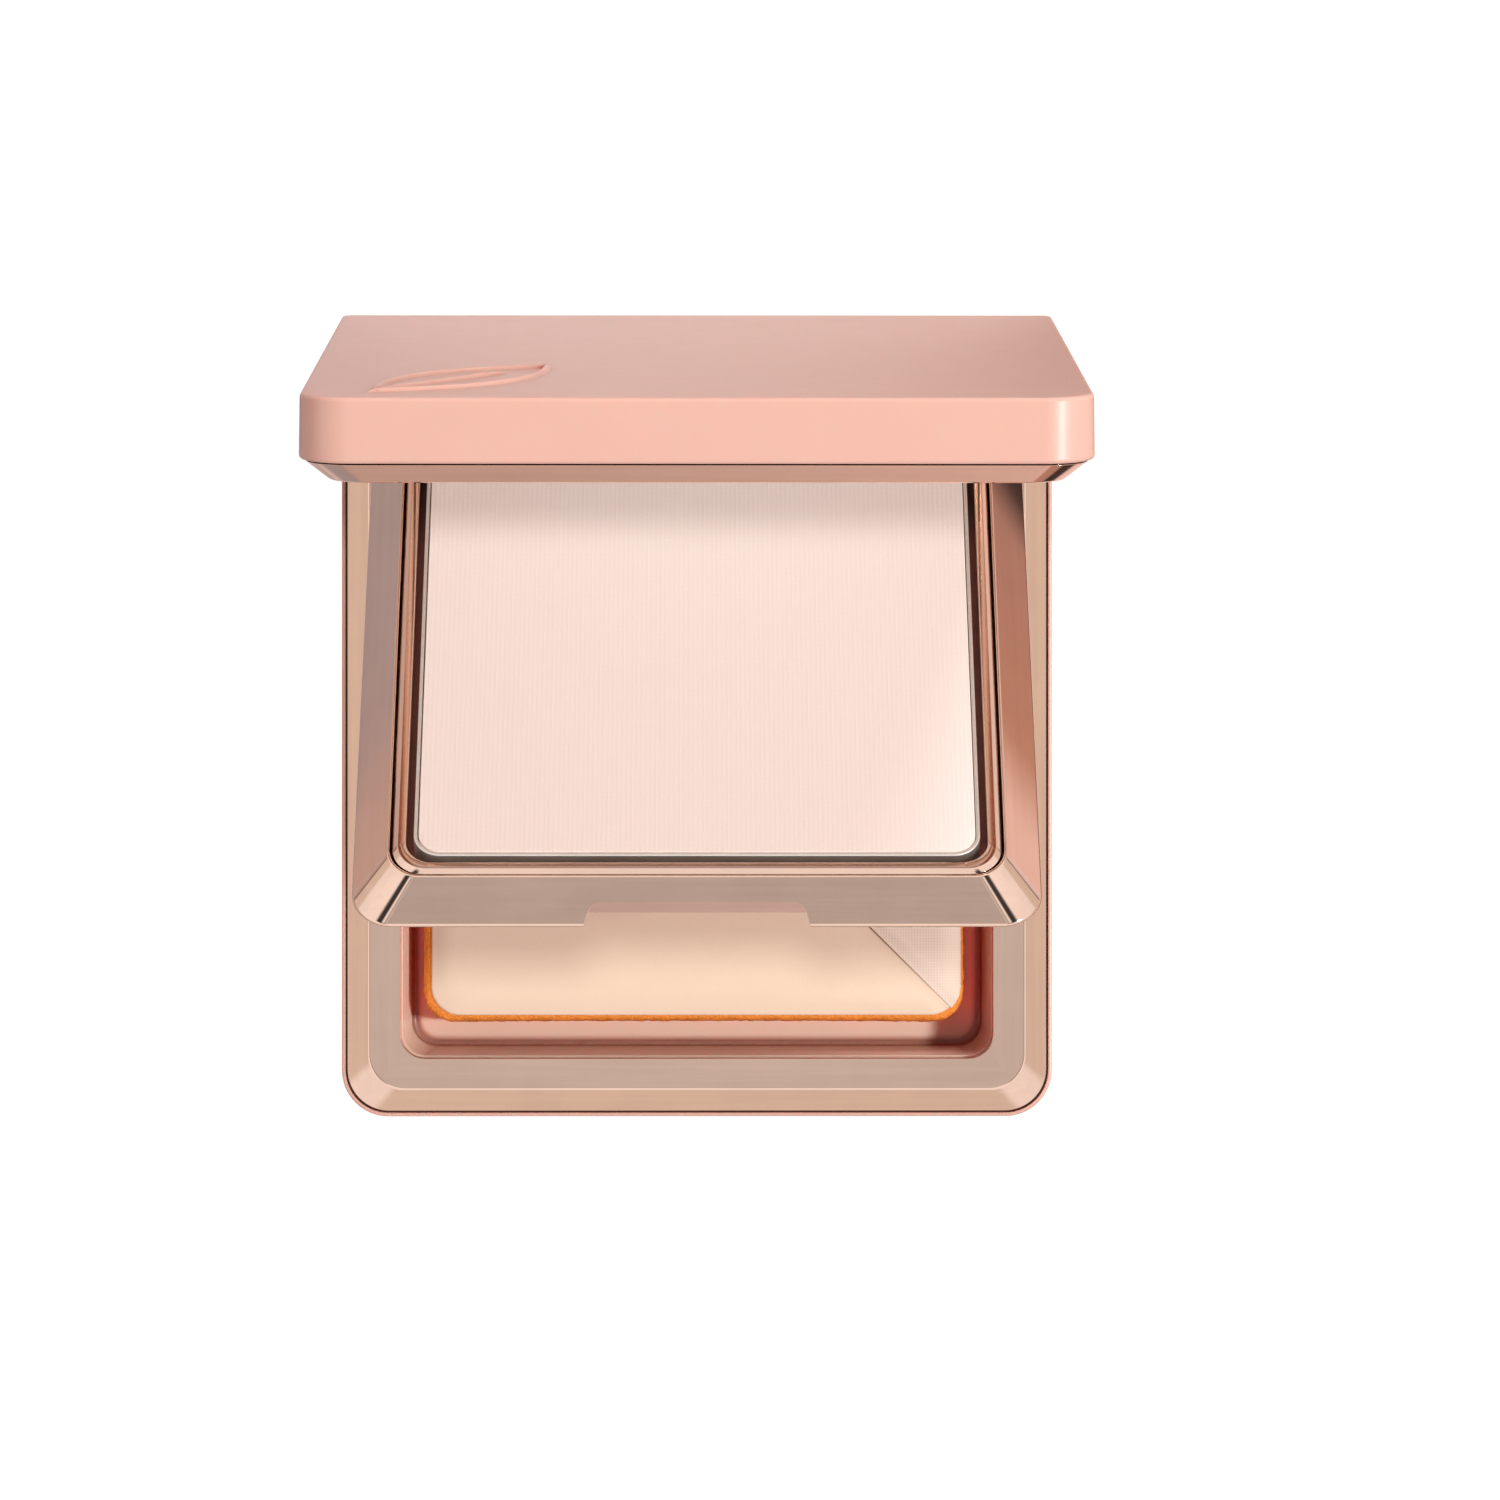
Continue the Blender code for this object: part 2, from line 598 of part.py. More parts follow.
def add_lid_insides(lid_axis, metal, glass, foam, steel):
    tongue_half = CASE_HALF - WALL - GAP
    slope = 3.6
    opening_half = 27.5
    seat = MIRROR_Z - 0.1
    bezel_top = 15.6
    bezel = piece("lid_bezel", loft([
        (LID_WAIST_HALF - 0.35, SEAT_Z, case_corner(RIM_CORNER - 0.2)),
        (LID_WAIST_HALF, SEAT_Z, case_corner(RIM_CORNER)),
        (BEZEL_FOOT_HALF, LID_REVEAL_Z, case_corner(BEZEL_CORNER)),
        (tongue_half, LID_REVEAL_Z, RIM_CORNER - 0.6),
        (tongue_half, bezel_top, RIM_CORNER - 0.6),
        (MIRROR_HALF + 0.2, bezel_top, MIRROR_CORNER + 0.2),
        (MIRROR_HALF + 0.2, seat, MIRROR_CORNER + 0.2),
        (opening_half, seat, WELL_CORNER),
        (opening_half, seat - 0.5, WELL_CORNER),
        (opening_half + 0.35, SEAT_Z + slope, WELL_CORNER + 0.2),
    ], closed=True), metal, lid_axis)
    arm_room = box((-LID_KNUCKLE_END - KNUCKLE_GAP, LID_ARM_FRONT - KNUCKLE_GAP, SEAT_Z - 1.0),
                   (LID_KNUCKLE_END + KNUCKLE_GAP, CASE_HALF + 2.0, bezel_top + 1.0))
    shape(bezel, "DIFFERENCE", [arm_room], "arm_room")
    pocket_low = 13.0
    pockets = [post(side * MAGNET_X, MAGNET_Y, LID_MAGNET_RADIUS + 0.15, pocket_low, bezel_top + 1.0)
               for side in (-1, 1)]
    shape(bezel, "DIFFERENCE", pockets, "magnet_pockets")
    for side, place in ((-1, "left"), (1, "right")):
        magnet = post(side * MAGNET_X, MAGNET_Y, LID_MAGNET_RADIUS, pocket_low + 0.15, bezel_top - 0.2)
        piece(f"lid_magnet_{place}", magnet, steel, lid_axis)

    piece("mirror", loft([
        (MIRROR_HALF, MIRROR_Z, MIRROR_CORNER),
        (MIRROR_HALF, MIRROR_Z + MIRROR_THICK, MIRROR_CORNER),
    ]), glass, lid_axis)
    pad_low = MIRROR_Z + MIRROR_THICK + 0.1
    pad_half = MIRROR_HALF - 3.0
    piece("mirror_pad", loft([
        (pad_half, pad_low, MIRROR_CORNER),
        (pad_half, CASE_TOP - WALL - 0.1, MIRROR_CORNER),
    ]), foam, lid_axis)


def build():
    clear_scene()
    peach = make_material("peach_plastic", (0.72, 0.43, 0.34), 0.32, 0.0)
    metal = make_material("rose_gold_plating", (0.78, 0.55, 0.46), 0.15, 1.0)
    steel = make_material("steel", (0.60, 0.60, 0.60), 0.35, 1.0)
    aluminium = make_material("aluminium", (0.85, 0.78, 0.70), 0.30, 1.0)
    powder = make_material("pressed_powder", (0.90, 0.72, 0.65), 0.90, 0.0)
    foam = make_material("orange_foam", (0.80, 0.28, 0.07), 0.85, 0.0)
    velour = make_material("cream_velour", (0.92, 0.66, 0.46), 0.80, 0.0)
    weave = make_material("cream_weave", (0.94, 0.74, 0.56), 0.80, 0.0)
    mirror = make_material("mirror_glass", (0.90, 0.90, 0.90), 0.03, 1.0)
    paper = make_material("label_paper", (0.85, 0.80, 0.76), 0.70, 0.0)
    glue = make_material("adhesive", (0.80, 0.80, 0.78), 0.60, 0.0)

    tray_axis = make_hinge_axis("tray_axis", TRAY_OPEN)
    lid_axis = make_hinge_axis("lid_axis", LID_OPEN - TRAY_OPEN, tray_axis)
    add_base_shell(peach)
    add_base_bezel(metal)
    add_puff_well(peach)
    add_base_insides(steel, paper)
    add_puff(foam, velour, weave)
    add_tray(tray_axis, metal, peach, aluminium, powder, glue, steel)
    add_lid_shell(lid_axis, peach)
    add_lid_insides(lid_axis, metal, mirror, foam, steel)


build()
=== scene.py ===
"""The looks of the powder compact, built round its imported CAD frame.

Pieces are modelled in millimetres with the case closed, as the CAD is, and each then turns with its
body to the half-open position that the frame rests in. Heights run up from the base's underside.
"""
import json
import math

import bmesh
import bpy
from mathutils import Matrix, Vector, noise
from mathutils.bvhtree import BVHTree

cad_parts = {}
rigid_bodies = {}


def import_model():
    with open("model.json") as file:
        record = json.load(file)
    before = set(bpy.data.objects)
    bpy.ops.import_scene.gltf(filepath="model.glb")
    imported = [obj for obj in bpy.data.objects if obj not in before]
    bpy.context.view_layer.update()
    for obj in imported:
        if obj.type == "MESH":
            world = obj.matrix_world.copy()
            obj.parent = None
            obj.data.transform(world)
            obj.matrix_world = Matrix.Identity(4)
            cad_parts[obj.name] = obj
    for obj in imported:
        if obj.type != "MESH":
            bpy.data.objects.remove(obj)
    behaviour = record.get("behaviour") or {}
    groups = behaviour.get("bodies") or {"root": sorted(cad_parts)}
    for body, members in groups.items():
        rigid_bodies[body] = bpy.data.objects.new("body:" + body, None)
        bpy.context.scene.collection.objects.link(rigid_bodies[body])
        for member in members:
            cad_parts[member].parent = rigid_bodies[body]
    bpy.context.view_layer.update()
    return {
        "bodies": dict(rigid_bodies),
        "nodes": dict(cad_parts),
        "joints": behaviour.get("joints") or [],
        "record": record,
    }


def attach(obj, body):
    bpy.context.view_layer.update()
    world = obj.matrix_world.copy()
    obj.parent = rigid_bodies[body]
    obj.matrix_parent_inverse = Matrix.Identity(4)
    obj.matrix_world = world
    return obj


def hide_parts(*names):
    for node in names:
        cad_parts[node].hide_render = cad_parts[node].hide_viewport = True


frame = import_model()

MM = 0.001
CORNER_STEPS = 16  # segments in each quarter of a rounded square
OUTLINE_STEPS = 6  # segments in each rounded corner of any other outline
EASE_STEPS = 4  # segments in each rounded edge
ROUND_SIDES = 48  # sides of hinge barrels and pins
RAYS_IN_QUARTER = 48  # the puff's cloths: rays from the middle, and rings, closest at the rim
CLOTH_RINGS = 22
QUARTERS = [Matrix.Rotation(quarter * math.pi / 2, 3, "Z") for quarter in range(4)]
SHARP_ANGLE = math.radians(40)
PAST = 1.0  # how far a cutting tool reaches past what it cuts

# ---- sizes from the frame


def from_closed(body):
    """The matrix that turns a body from the closed case to where it rests."""
    matrix = Matrix.Identity(4)
    for joint in frame["joints"]:
        if joint["child"] == body:
            pivot = Matrix.Translation(Vector(joint["pos_m"]))
            turn = Matrix.Rotation(math.radians(-joint["range_deg"][0]), 4, Vector(joint["axis"]))
            matrix = from_closed(joint["parent"]) @ pivot @ turn @ pivot.inverted()
    return matrix


OPENED = {body: from_closed(body) for body in frame["bodies"]}
BODY_OF = {node: body for body, nodes in frame["record"]["behaviour"]["bodies"].items() for node in nodes}


def closed_box(node):
    """Lowest and highest corner of a CAD node with the case closed, in millimetres."""
    closing = OPENED[BODY_OF[node]].inverted()
    points = [closing @ vert.co / MM for vert in frame["nodes"][node].data.vertices]
    low = Vector([min(point[i] for point in points) for i in range(3)])
    high = Vector([max(point[i] for point in points) for i in range(3)])
    return low, high


BOX = {node: closed_box(node) for node in frame["nodes"]}
HALF = {node: (high.x - low.x) / 2 for node, (low, high) in BOX.items()}
LOW_Z = {node: low.z for node, (low, high) in BOX.items()}
HIGH_Z = {node: high.z for node, (low, high) in BOX.items()}
HEIGHTS = {node: (LOW_Z[node], HIGH_Z[node]) for node in BOX}

HINGE = Vector(frame["joints"][0]["pos_m"]) / MM
BEHIND_Y = HINGE.y + 3.0  # clear of everything at the back
BARREL_RADIUS = HIGH_Z["base_shell"] - HINGE.z
PIN_RADIUS = (HIGH_Z["hinge_pin"] - LOW_Z["hinge_pin"]) / 2
BORE_RADIUS = PIN_RADIUS + 0.05
RIM_Z = HIGH_Z["base_bezel"]

# Sizes that the CAD's boxes don't show
CASE_CORNER = 4.45
CASE_BACK_CORNER = 1.0  # the case's two corners beside the hinge are tighter
BEZEL_CORNER = 4.0
RIM_HALF = 31.3
RIM_CORNER = 3.4
WELL_HALF = 28.3
WELL_CORNER = 2.4
WELL_LEDGE = 0.16  # how far the well's wall stands in from the opening above it
WALL = 1.5
TONGUE_GAP = 0.2  # between a shell's wall and the tongue of the bezel inside it
REVEAL = 0.13  # the dark line between a shell and its bezel
BASE_FOOT_Z = 8.63  # where the base's bezel meets its shell
LID_FOOT_Z = 12.4  # where the lid's bezel meets its shell
LID_WAIST_HALF = 31.5
TRAY_CORNER = 3.7
TRAY_BEVEL = 3.27
RING_WIDTH = 1.25
PAN_CORNER = 2.4
PAN_GAP = 0.14  # a little extra clearance that shows the dark slot round the pan
TRAY_FLOOR_Z = (9.7, 10.5)
ARM_Z = 8.95  # the underside of the tray's hinge arms
NOTCH_FOOT_HALF = 10.1  # the finger notch in the front of the tray
NOTCH_TOP_HALF = 9.45
NOTCH_HEIGHT = 1.65
NOTCH_BACK = 29.1
KNUCKLE_GAP = 0.2
LID_KNUCKLE_END = 7.0  # the lid's knuckle is in the middle
TRAY_KNUCKLE = (7.2, 12.7)  # where the others start and end, on both sides
BASE_KNUCKLE = (12.9, 19.0)
LABEL_GAP = 0.2
LABEL_CORNER = 1.5
PUFF_CORNER = 3.0
COVER_INSET = 0.75  # how much of the foam shows round the cover
COVER_SHIFT = Vector((0.12, 0.04, 0.0))
POCKET_INSET = 0.55
FOAM_GRAIN = 0.5  # size of the crumbs on the foam's cut sides, and how far they stand out
FOAM_ROUGHNESS = 0.14
SWELL_STEPS = 20  # of the simulation that fills the foam
LEAF_LENGTH = 11.5  # half the leaf's length and width, its place on the lid and its turn in degrees
LEAF_WIDTH = 4.6
LEAF_MIDDLE = Vector((-20.4, -20.5))
LEAF_TURN = 52.0

# The camera stands straight above the case, tipped a little to the right
CAMERA_LENS = 146.3
CAMERA_HEIGHT = 582.0  # above the base's rim
CAMERA_Y = 1.08
CAMERA_TIP = math.radians(0.498)

FLOOR_HALF = 4000.0
SOFTBOX_DISTANCE = 0.9  # in metres
FROM_RIGHT = (0.64, -0.06, 0.77)
# The studio: how high a direction points, how bright the tent is there, and how warm
TENT = (
    (0.00, 0.76, 0.20), (0.27, 0.78, 0.16), (0.33, 1.00, 0.0), (0.80, 1.10, 0.0), (0.955, 1.00, 0.0),
    (0.972, 0.54, 0.0), (0.991, 0.54, 0.0), (1.00, 0.70, 0.0),
)
# The same for the dark gaps between the tent's top and its two sides: how much light they take away
GAPS = ((0.82, 0.0), (0.86, 0.95), (0.915, 0.95), (0.93, 0.0), (0.945, 0.0), (0.952, 0.7), (0.965, 0.0))
AMBIENT = (0.40, 0.235, 0.225)  # how much of the tent's light falls on matt surfaces
PAPER_GLOW = 0.90  # how much of the floor's white, to the camera, is its own
PAPER_STRENGTH = 1.12
# How far out on the floor, in metres, and what it throws back there, left and right of the object
LEFT_FLOOR = (
    (0.056, (0.72, 0.70, 0.70)), (0.068, (0.37, 0.40, 0.44)), (0.098, (0.38, 0.41, 0.44)),
    (0.110, (0.41, 0.42, 0.45)), (0.126, (0.52, 0.47, 0.44)), (0.30, (0.58, 0.60, 0.61)),
)
RIGHT_FLOOR = (
    (0.056, (0.72, 0.60, 0.55)), (0.062, (0.05, 0.04, 0.04)), (0.078, (0.05, 0.04, 0.04)),
    (0.084, (0.36, 0.25, 0.22)), (0.112, (0.43, 0.28, 0.21)), (0.124, (0.67, 0.57, 0.54)),
    (0.30, (0.58, 0.60, 0.61)),
)

PEACH = (0.72, 0.455, 0.37)
METAL = (0.86, 0.60, 0.48)
STEEL = (0.62, 0.61, 0.60)
ALUMINIUM = (0.93, 0.86, 0.79)
SILVER = (0.88, 0.89, 0.89)
FOAM = (0.86, 0.29, 0.05)
CREAM = (0.88, 0.73, 0.56)
CREAM_WEAVE = (0.84, 0.72, 0.595)
POWDER = (0.925, 0.815, 0.75)
POWDER_LOW = (0.885, 0.76, 0.69)
WHITE = (1.0, 1.0, 1.0)
# Painted shade in creases: how close surfaces must be, in millimetres, to darken each other's colour,
# then how open a spot is and how much painted shade that gives it
PLASTIC_SHADE_REACH = 1.1
CREASE_SHADE_TINTS = (
    (0.20, (0.02, 0.01, 0.01)), (0.50, (0.26, 0.08, 0.06)), (0.75, (0.72, 0.38, 0.30)), (0.93, WHITE),
)
# the well's own painted shade, darkest in a band at the foot of its wall
WELL_SHADE_TINTS = (
    (0.50, (0.08, 0.02, 0.015)), (0.79, (0.22, 0.06, 0.045)), (0.89, (0.74, 0.46, 0.40)), (0.97, WHITE),
)
# painted shade on the gold trim, browner in its creases; the tray's copy goes near black, for the slot round
# the pan
GOLD_SHADE_REACH = 0.5
GOLD_SHADE_TINTS = ((0.15, (0.30, 0.13, 0.06)), (0.45, (0.62, 0.36, 0.22)), (0.72, WHITE))
TRAY_GOLD_SHADE_TINTS = ((0.15, (0.03, 0.02, 0.02)), (0.45, (0.25, 0.20, 0.18)), (0.72, WHITE))

# ---- mesh tools


def curve(start, bend, end, steps):
    """Points along a curve that leaves start and reaches end in the directions of the bend."""
    shares = [step / steps for step in range(steps + 1)]
    return [start * (1 - t) ** 2 + bend * (2 * t * (1 - t)) + end * t ** 2 for t in shares]


def case_corner(front):
    """The radii of a line round the case at its front and back corners, from the front one."""
    return front, max(front - CASE_CORNER + CASE_BACK_CORNER, 0.3)


def corner_point(quarter, share, half, radius):
    """A point on a square's round corner, a share of the way round it, anticlockwise from the back right."""
    angle = share * math.pi / 2
    arm = Vector((math.cos(angle), math.sin(angle), 0.0)) * radius
    return QUARTERS[quarter % 4] @ (Vector((half - radius, half - radius, 0.0)) + arm)


def rounded_square(half, front, back, z):
    """The points of a square with round corners, anticlockwise from above, starting at the back right."""
    up = Vector((0.0, 0.0, z))
    return [corner_point(quarter, step / CORNER_STEPS, half, radius) + up
            for quarter, radius in enumerate((back, back, front, front)) for step in range(CORNER_STEPS + 1)]


def eased(profile, closed):
    """Rounds a profile's corners. Each entry is (half width, height, corner radius or radii, easing)."""
    places = []
    for half, z, corner, ease in profile:
        front, back = corner if isinstance(corner, tuple) else (corner, corner)
        places.append((Vector((half, z, front, back)), ease))
    sections = []
    count = len(places)
    for i, (here, ease) in enumerate(places):
        at_end = not closed and i in (0, count - 1)
        if ease == 0 or at_end:
            sections.append(here)
            continue
        before = places[i - 1][0]
        after = places[(i + 1) % count][0]
        start = here + (before - here) * (ease / (before - here).xy.length)
        end = here + (after - here) * (ease / (after - here).xy.length)
        sections += curve(start, here, end, EASE_STEPS)
    return sections


def join_loops(mesh, first, second):
    """Faces between two rings of as many points."""
    for i in range(len(first)):
        j = (i + 1) % len(first)
        mesh.faces.new((first[i], first[j], second[j], second[i]))


def loft(profile, closed=False):
    """A mesh through rounded squares. A closed profile makes a ring; an open one is capped."""
    mesh = bmesh.new()
    loops = []
    for half, z, front, back in eased(profile, closed):
        loops.append([mesh.verts.new(point) for point in rounded_square(half, front, back, z)])
    pairs = list(zip(loops, loops[1:]))
    if closed:
        pairs.append((loops[-1], loops[0]))
    for lower, upper in pairs:
        join_loops(mesh, lower, upper)
    if not closed:
        mesh.faces.new(list(reversed(loops[0])))
        mesh.faces.new(loops[-1])
    return mesh


def prism(outline, direction, start, end):
    """A straight solid along X, Y or Z from an outline in the other two axes."""
    order = {"x": (2, 0, 1), "y": (0, 2, 1), "z": (0, 1, 2)}[direction]
    mesh = bmesh.new()
    near, far = [[mesh.verts.new([(a, b, along)[axis] for axis in order]) for a, b in outline]
                 for along in (start, end)]
    join_loops(mesh, near, far)
    mesh.faces.new(list(reversed(near)))
    mesh.faces.new(far)
    bmesh.ops.recalc_face_normals(mesh, faces=mesh.faces)
    return mesh


def box(low, high):
    outline = [(low[0], low[1]), (high[0], low[1]), (high[0], high[1]), (low[0], high[1])]
    return prism(outline, "z", low[2], high[2])


def slab(name, half, heights, corner, low_ease, high_ease, cap_corner):
    """A square plate with round corners and eased edges, its flats drawn from one millimetre in."""
    low, high = heights
    return to_object(name, loft([
        (half - 1.0, low, cap_corner, 0.0),
        (half, low, corner, low_ease),
        (half, high, corner, high_ease),
        (half - 1.0, high, cap_corner, 0.0),
    ]))


def hinge_cylinder(radius, start, end):
    """A cylinder on the hinge's axis, from one place across the case to another."""
    turns = [2 * math.pi * i / ROUND_SIDES for i in range(ROUND_SIDES)]
    outline = [(HINGE.y + radius * math.cos(turn), HINGE.z + radius * math.sin(turn)) for turn in turns]
    return prism(outline, "x", start, end)


def on_both_sides(make_mesh, start, end):
    return [make_mesh(start, end), make_mesh(-end, -start)]


def hinge_cylinders(radius, start, end):
    return on_both_sides(lambda a, b: hinge_cylinder(radius, a, b), start, end)


def rounded_outline(corners, radius):
    """A polygon with each corner rounded by a curve that starts radius away from it."""
    points = []
    for i, corner in enumerate(corners):
        here = Vector(corner)
        before = Vector(corners[i - 1])
        after = Vector(corners[(i + 1) % len(corners)])
        start = here + (before - here).normalized() * radius
        end = here + (after - here).normalized() * radius
        points += curve(start, here, end, OUTLINE_STEPS)
    return points


def to_object(name, mesh):
    bmesh.ops.scale(mesh, vec=(MM, MM, MM), verts=mesh.verts)
    data = bpy.data.meshes.new(name)
    mesh.to_mesh(data)
    mesh.free()
    thing = bpy.data.objects.new(name, data)
    bpy.context.scene.collection.objects.link(thing)
    return thing


def combine(target, operation, meshes):
    """Adds meshes to an object, or cuts them from it, one at a time, and applies the result."""
    for mesh in meshes:
        tool = to_object("tool", mesh)
        modifier = target.modifiers.new("combine", "BOOLEAN")
        modifier.operation = operation
        modifier.object = tool
        apply_modifiers(target)
        bpy.data.objects.remove(tool)


def apply_modifiers(thing):
    graph = bpy.context.evaluated_depsgraph_get()
    graph.update()
    final = bpy.data.meshes.new_from_object(thing.evaluated_get(graph))
    thing.modifiers.clear()
    old = thing.data
    thing.data = final
    bpy.data.meshes.remove(old)


def smooth(thing):
    """Smooth shading that keeps flats flat and sharp edges sharp."""
    thing.data.shade_smooth()
    thing.data.set_sharp_from_angle(angle=SHARP_ANGLE)
    weighted = thing.modifiers.new("flats", "WEIGHTED_NORMAL")
    weighted.keep_sharp = True
    weighted.weight = 100


def shade_round(thing):
    """Smooth shading for cloth and low relief, which have only a few true edges."""
    thing.data.shade_smooth()
    thing.data.set_sharp_from_angle(angle=math.radians(60))


def ease_edges(thing, width):
    """A small rounding on the edges that cuts have left."""
    bevel = thing.modifiers.new("ease", "BEVEL")
    bevel.limit_method = "ANGLE"
    bevel.angle_limit = SHARP_ANGLE
    bevel.width = width * MM
    bevel.segments = 2
    bevel.use_clamp_overlap = True


def mount(thing, body, material, node=None):
    """Gives a piece its material, opens it with its body and lets it stand for a CAD node."""
    thing.data.materials.clear()
    thing.data.materials.append(material)
    thing.matrix_world = OPENED[body]
    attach(thing, body)
    if node:
        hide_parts(node)


def finish(thing, node, material, ease=0.0):
    """Eases the edges that cuts have left, shades the piece and mounts it in its CAD node's place."""
    if ease:
        ease_edges(thing, ease)
    smooth(thing)
    mount(thing, BODY_OF[node], material, node)


# ---- materials


class Nodes:
    """The node patterns that the materials and the studio's world share."""

    def __init__(self, tree):
        self.tree = tree

    def add(self, kind):
        return self.tree.nodes.new(kind)

    def feed(self, socket, value):
        """Gives an input a number, a colour or another node's output."""
        if isinstance(value, bpy.types.NodeSocket):
            self.tree.links.new(value, socket)
        elif socket.type == "RGBA":
            socket.default_value = (*value, 1.0)
        else:
            socket.default_value = value

    def operate(self, kind, operation, first, second):
        node = self.add(kind)
        node.operation = operation
        self.feed(node.inputs[0], first)
        self.feed(node.inputs[1], second)
        return node.outputs

    def math(self, operation, first, second=0.0):
        return self.operate("ShaderNodeMath", operation, first, second)["Value"]

    def vector_math(self, operation, first, second=(0.0, 0.0, 0.0)):
        outputs = self.operate("ShaderNodeVectorMath", operation, first, second)
        return outputs["Value" if operation in ("LENGTH", "DOT_PRODUCT") else "Vector"]

    def remap(self, value, low, high):
        """A value from 0..1 to low..high."""
        return self.math("ADD", self.math("MULTIPLY", value, high - low), low)

    def blend(self, first, second, share):
        """Two values added, share of the first and the rest of the second."""
        rest = self.math("MULTIPLY", second, 1.0 - share)
        return self.math("ADD", self.math("MULTIPLY", first, share), rest)

    def smooth_range(self, value, start, end):
        """0 for values below start, 1 above end, and eased in between."""
        node = self.add("ShaderNodeMapRange")
        node.interpolation_type = "SMOOTHSTEP"
        self.feed(node.inputs["Value"], value)
        self.feed(node.inputs["From Min"], start)
        self.feed(node.inputs["From Max"], end)
        return node.outputs["Result"]

    def ramp(self, value, stops):
        """The colour that (position, colour) stops give a value."""
        node = self.add("ShaderNodeValToRGB")
        self.feed(node.inputs["Fac"], value)
        elements = node.color_ramp.elements
        while len(elements) < len(stops):
            elements.new(1.0)
        for element, (position, colour) in zip(elements, stops):
            element.position = position
            element.color = (*colour, 1.0)
        return node.outputs["Color"]

    def mix(self, factor, first, second):
        """A colour between two others."""
        node = self.add("ShaderNodeMix")
        node.data_type = "RGBA"
        self.feed(node.inputs["Factor"], factor)
        sides = [socket for socket in node.inputs if socket.type == "RGBA"]
        self.feed(sides[0], first)
        self.feed(sides[1], second)
        return [socket for socket in node.outputs if socket.type == "RGBA"][0]


class Shader(Nodes):
    """A Principled material with textures placed in the piece's own space."""

    def __init__(self, name, colour, roughness, metallic=0.0):
        self.material = bpy.data.materials.new(name)
        self.material.use_nodes = True
        super().__init__(self.material.node_tree)
        self.main = self.tree.nodes["Principled BSDF"].inputs
        self.place = self.add("ShaderNodeTexCoord").outputs["Object"]
        self.normal = None
        self.set({"Base Color": colour, "Roughness": roughness, "Metallic": metallic})

    def set(self, values):
        """Feeds the Principled node's inputs by name."""
        for name, value in values.items():
            self.feed(self.main[name], value)

    def set_softness(self, share, reaches, depth):
        """Lets a share of the light wander under the surface, each colour to its own part of a depth."""
        self.set({"Subsurface Weight": share, "Subsurface Radius": reaches, "Subsurface Scale": depth * MM})

    def axes(self):
        apart = self.add("ShaderNodeSeparateXYZ")
        self.feed(apart.inputs[0], self.place)
        return apart.outputs["X"], apart.outputs["Y"]

    def noise(self, size, detail=2.0, stretch=(1.0, 1.0, 1.0)):
        """Noise with features about size millimetres across."""
        mapping = self.add("ShaderNodeMapping")
        self.feed(mapping.inputs["Vector"], self.place)
        self.feed(mapping.inputs["Scale"], stretch)
        node = self.add("ShaderNodeTexNoise")
        self.feed(node.inputs["Vector"], mapping.outputs["Vector"])
        self.feed(node.inputs["Scale"], 1.0 / (size * MM))
        self.feed(node.inputs["Detail"], detail)
        return node.outputs["Fac"]

    def grains(self, size):
        node = self.add("ShaderNodeTexVoronoi")
        self.feed(node.inputs["Vector"], self.place)
        self.feed(node.inputs["Scale"], 1.0 / (size * MM))
        return node.outputs["Distance"]

    def ribs(self, pitch, axis, wobble):
        """Parallel ribs one pitch apart, counted along an axis."""
        node = self.add("ShaderNodeTexWave")
        node.bands_direction = axis
        self.feed(node.inputs["Vector"], self.place)
        self.feed(node.inputs["Scale"], math.pi / 10 / (pitch * MM))
        self.feed(node.inputs["Distortion"], wobble)
        self.feed(node.inputs["Detail"], 1.0)
        return node.outputs["Fac"]

    def bump(self, height, depth):
        """Relief depth millimetres deep, laid over any relief that is there."""
        node = self.add("ShaderNodeBump")
        self.feed(node.inputs["Distance"], depth * MM)
        self.feed(node.inputs["Height"], height)
        if self.normal is not None:
            self.feed(node.inputs["Normal"], self.normal)
        self.normal = node.outputs["Normal"]
        self.set({"Normal": self.normal})

    def paint_crease_shade(self, tone, reach, tints, own_only=False):
        """Paints shade into a tone where surfaces closer than reach, in millimetres, hem the spot in."""
        openness = self.add("ShaderNodeAmbientOcclusion")
        openness.samples = 8
        openness.only_local = own_only
        self.feed(openness.inputs["Distance"], reach * MM)
        return self.vector_math("MULTIPLY", self.ramp(openness.outputs["AO"], tints), tone)


def shade(colour, factor):
    return tuple(value * factor for value in colour)


def satin_plastic(name, crease_shade_tints, own_only=False):
    """Moulded plastic: a faint unevenness of tone and gloss, a very fine grain, and warm painted shade in
    its creases.
    """
    shader = Shader(name, PEACH, 0.34)
    tone = shader.mix(shader.noise(9.0), PEACH, shade(PEACH, 0.96))
    # painted shade: the tone darkens in creases and where parts meet
    shader.set({"Base Color": shader.paint_crease_shade(tone, PLASTIC_SHADE_REACH, crease_shade_tints, own_only),
                "Roughness": shader.remap(shader.noise(3.0, 4.0), 0.30, 0.39)})
    shader.bump(shader.noise(0.12, 3.0), 0.0012)
    shader.set_softness(0.3, (1.0, 0.3, 0.2), 1.2)
    return shader.material


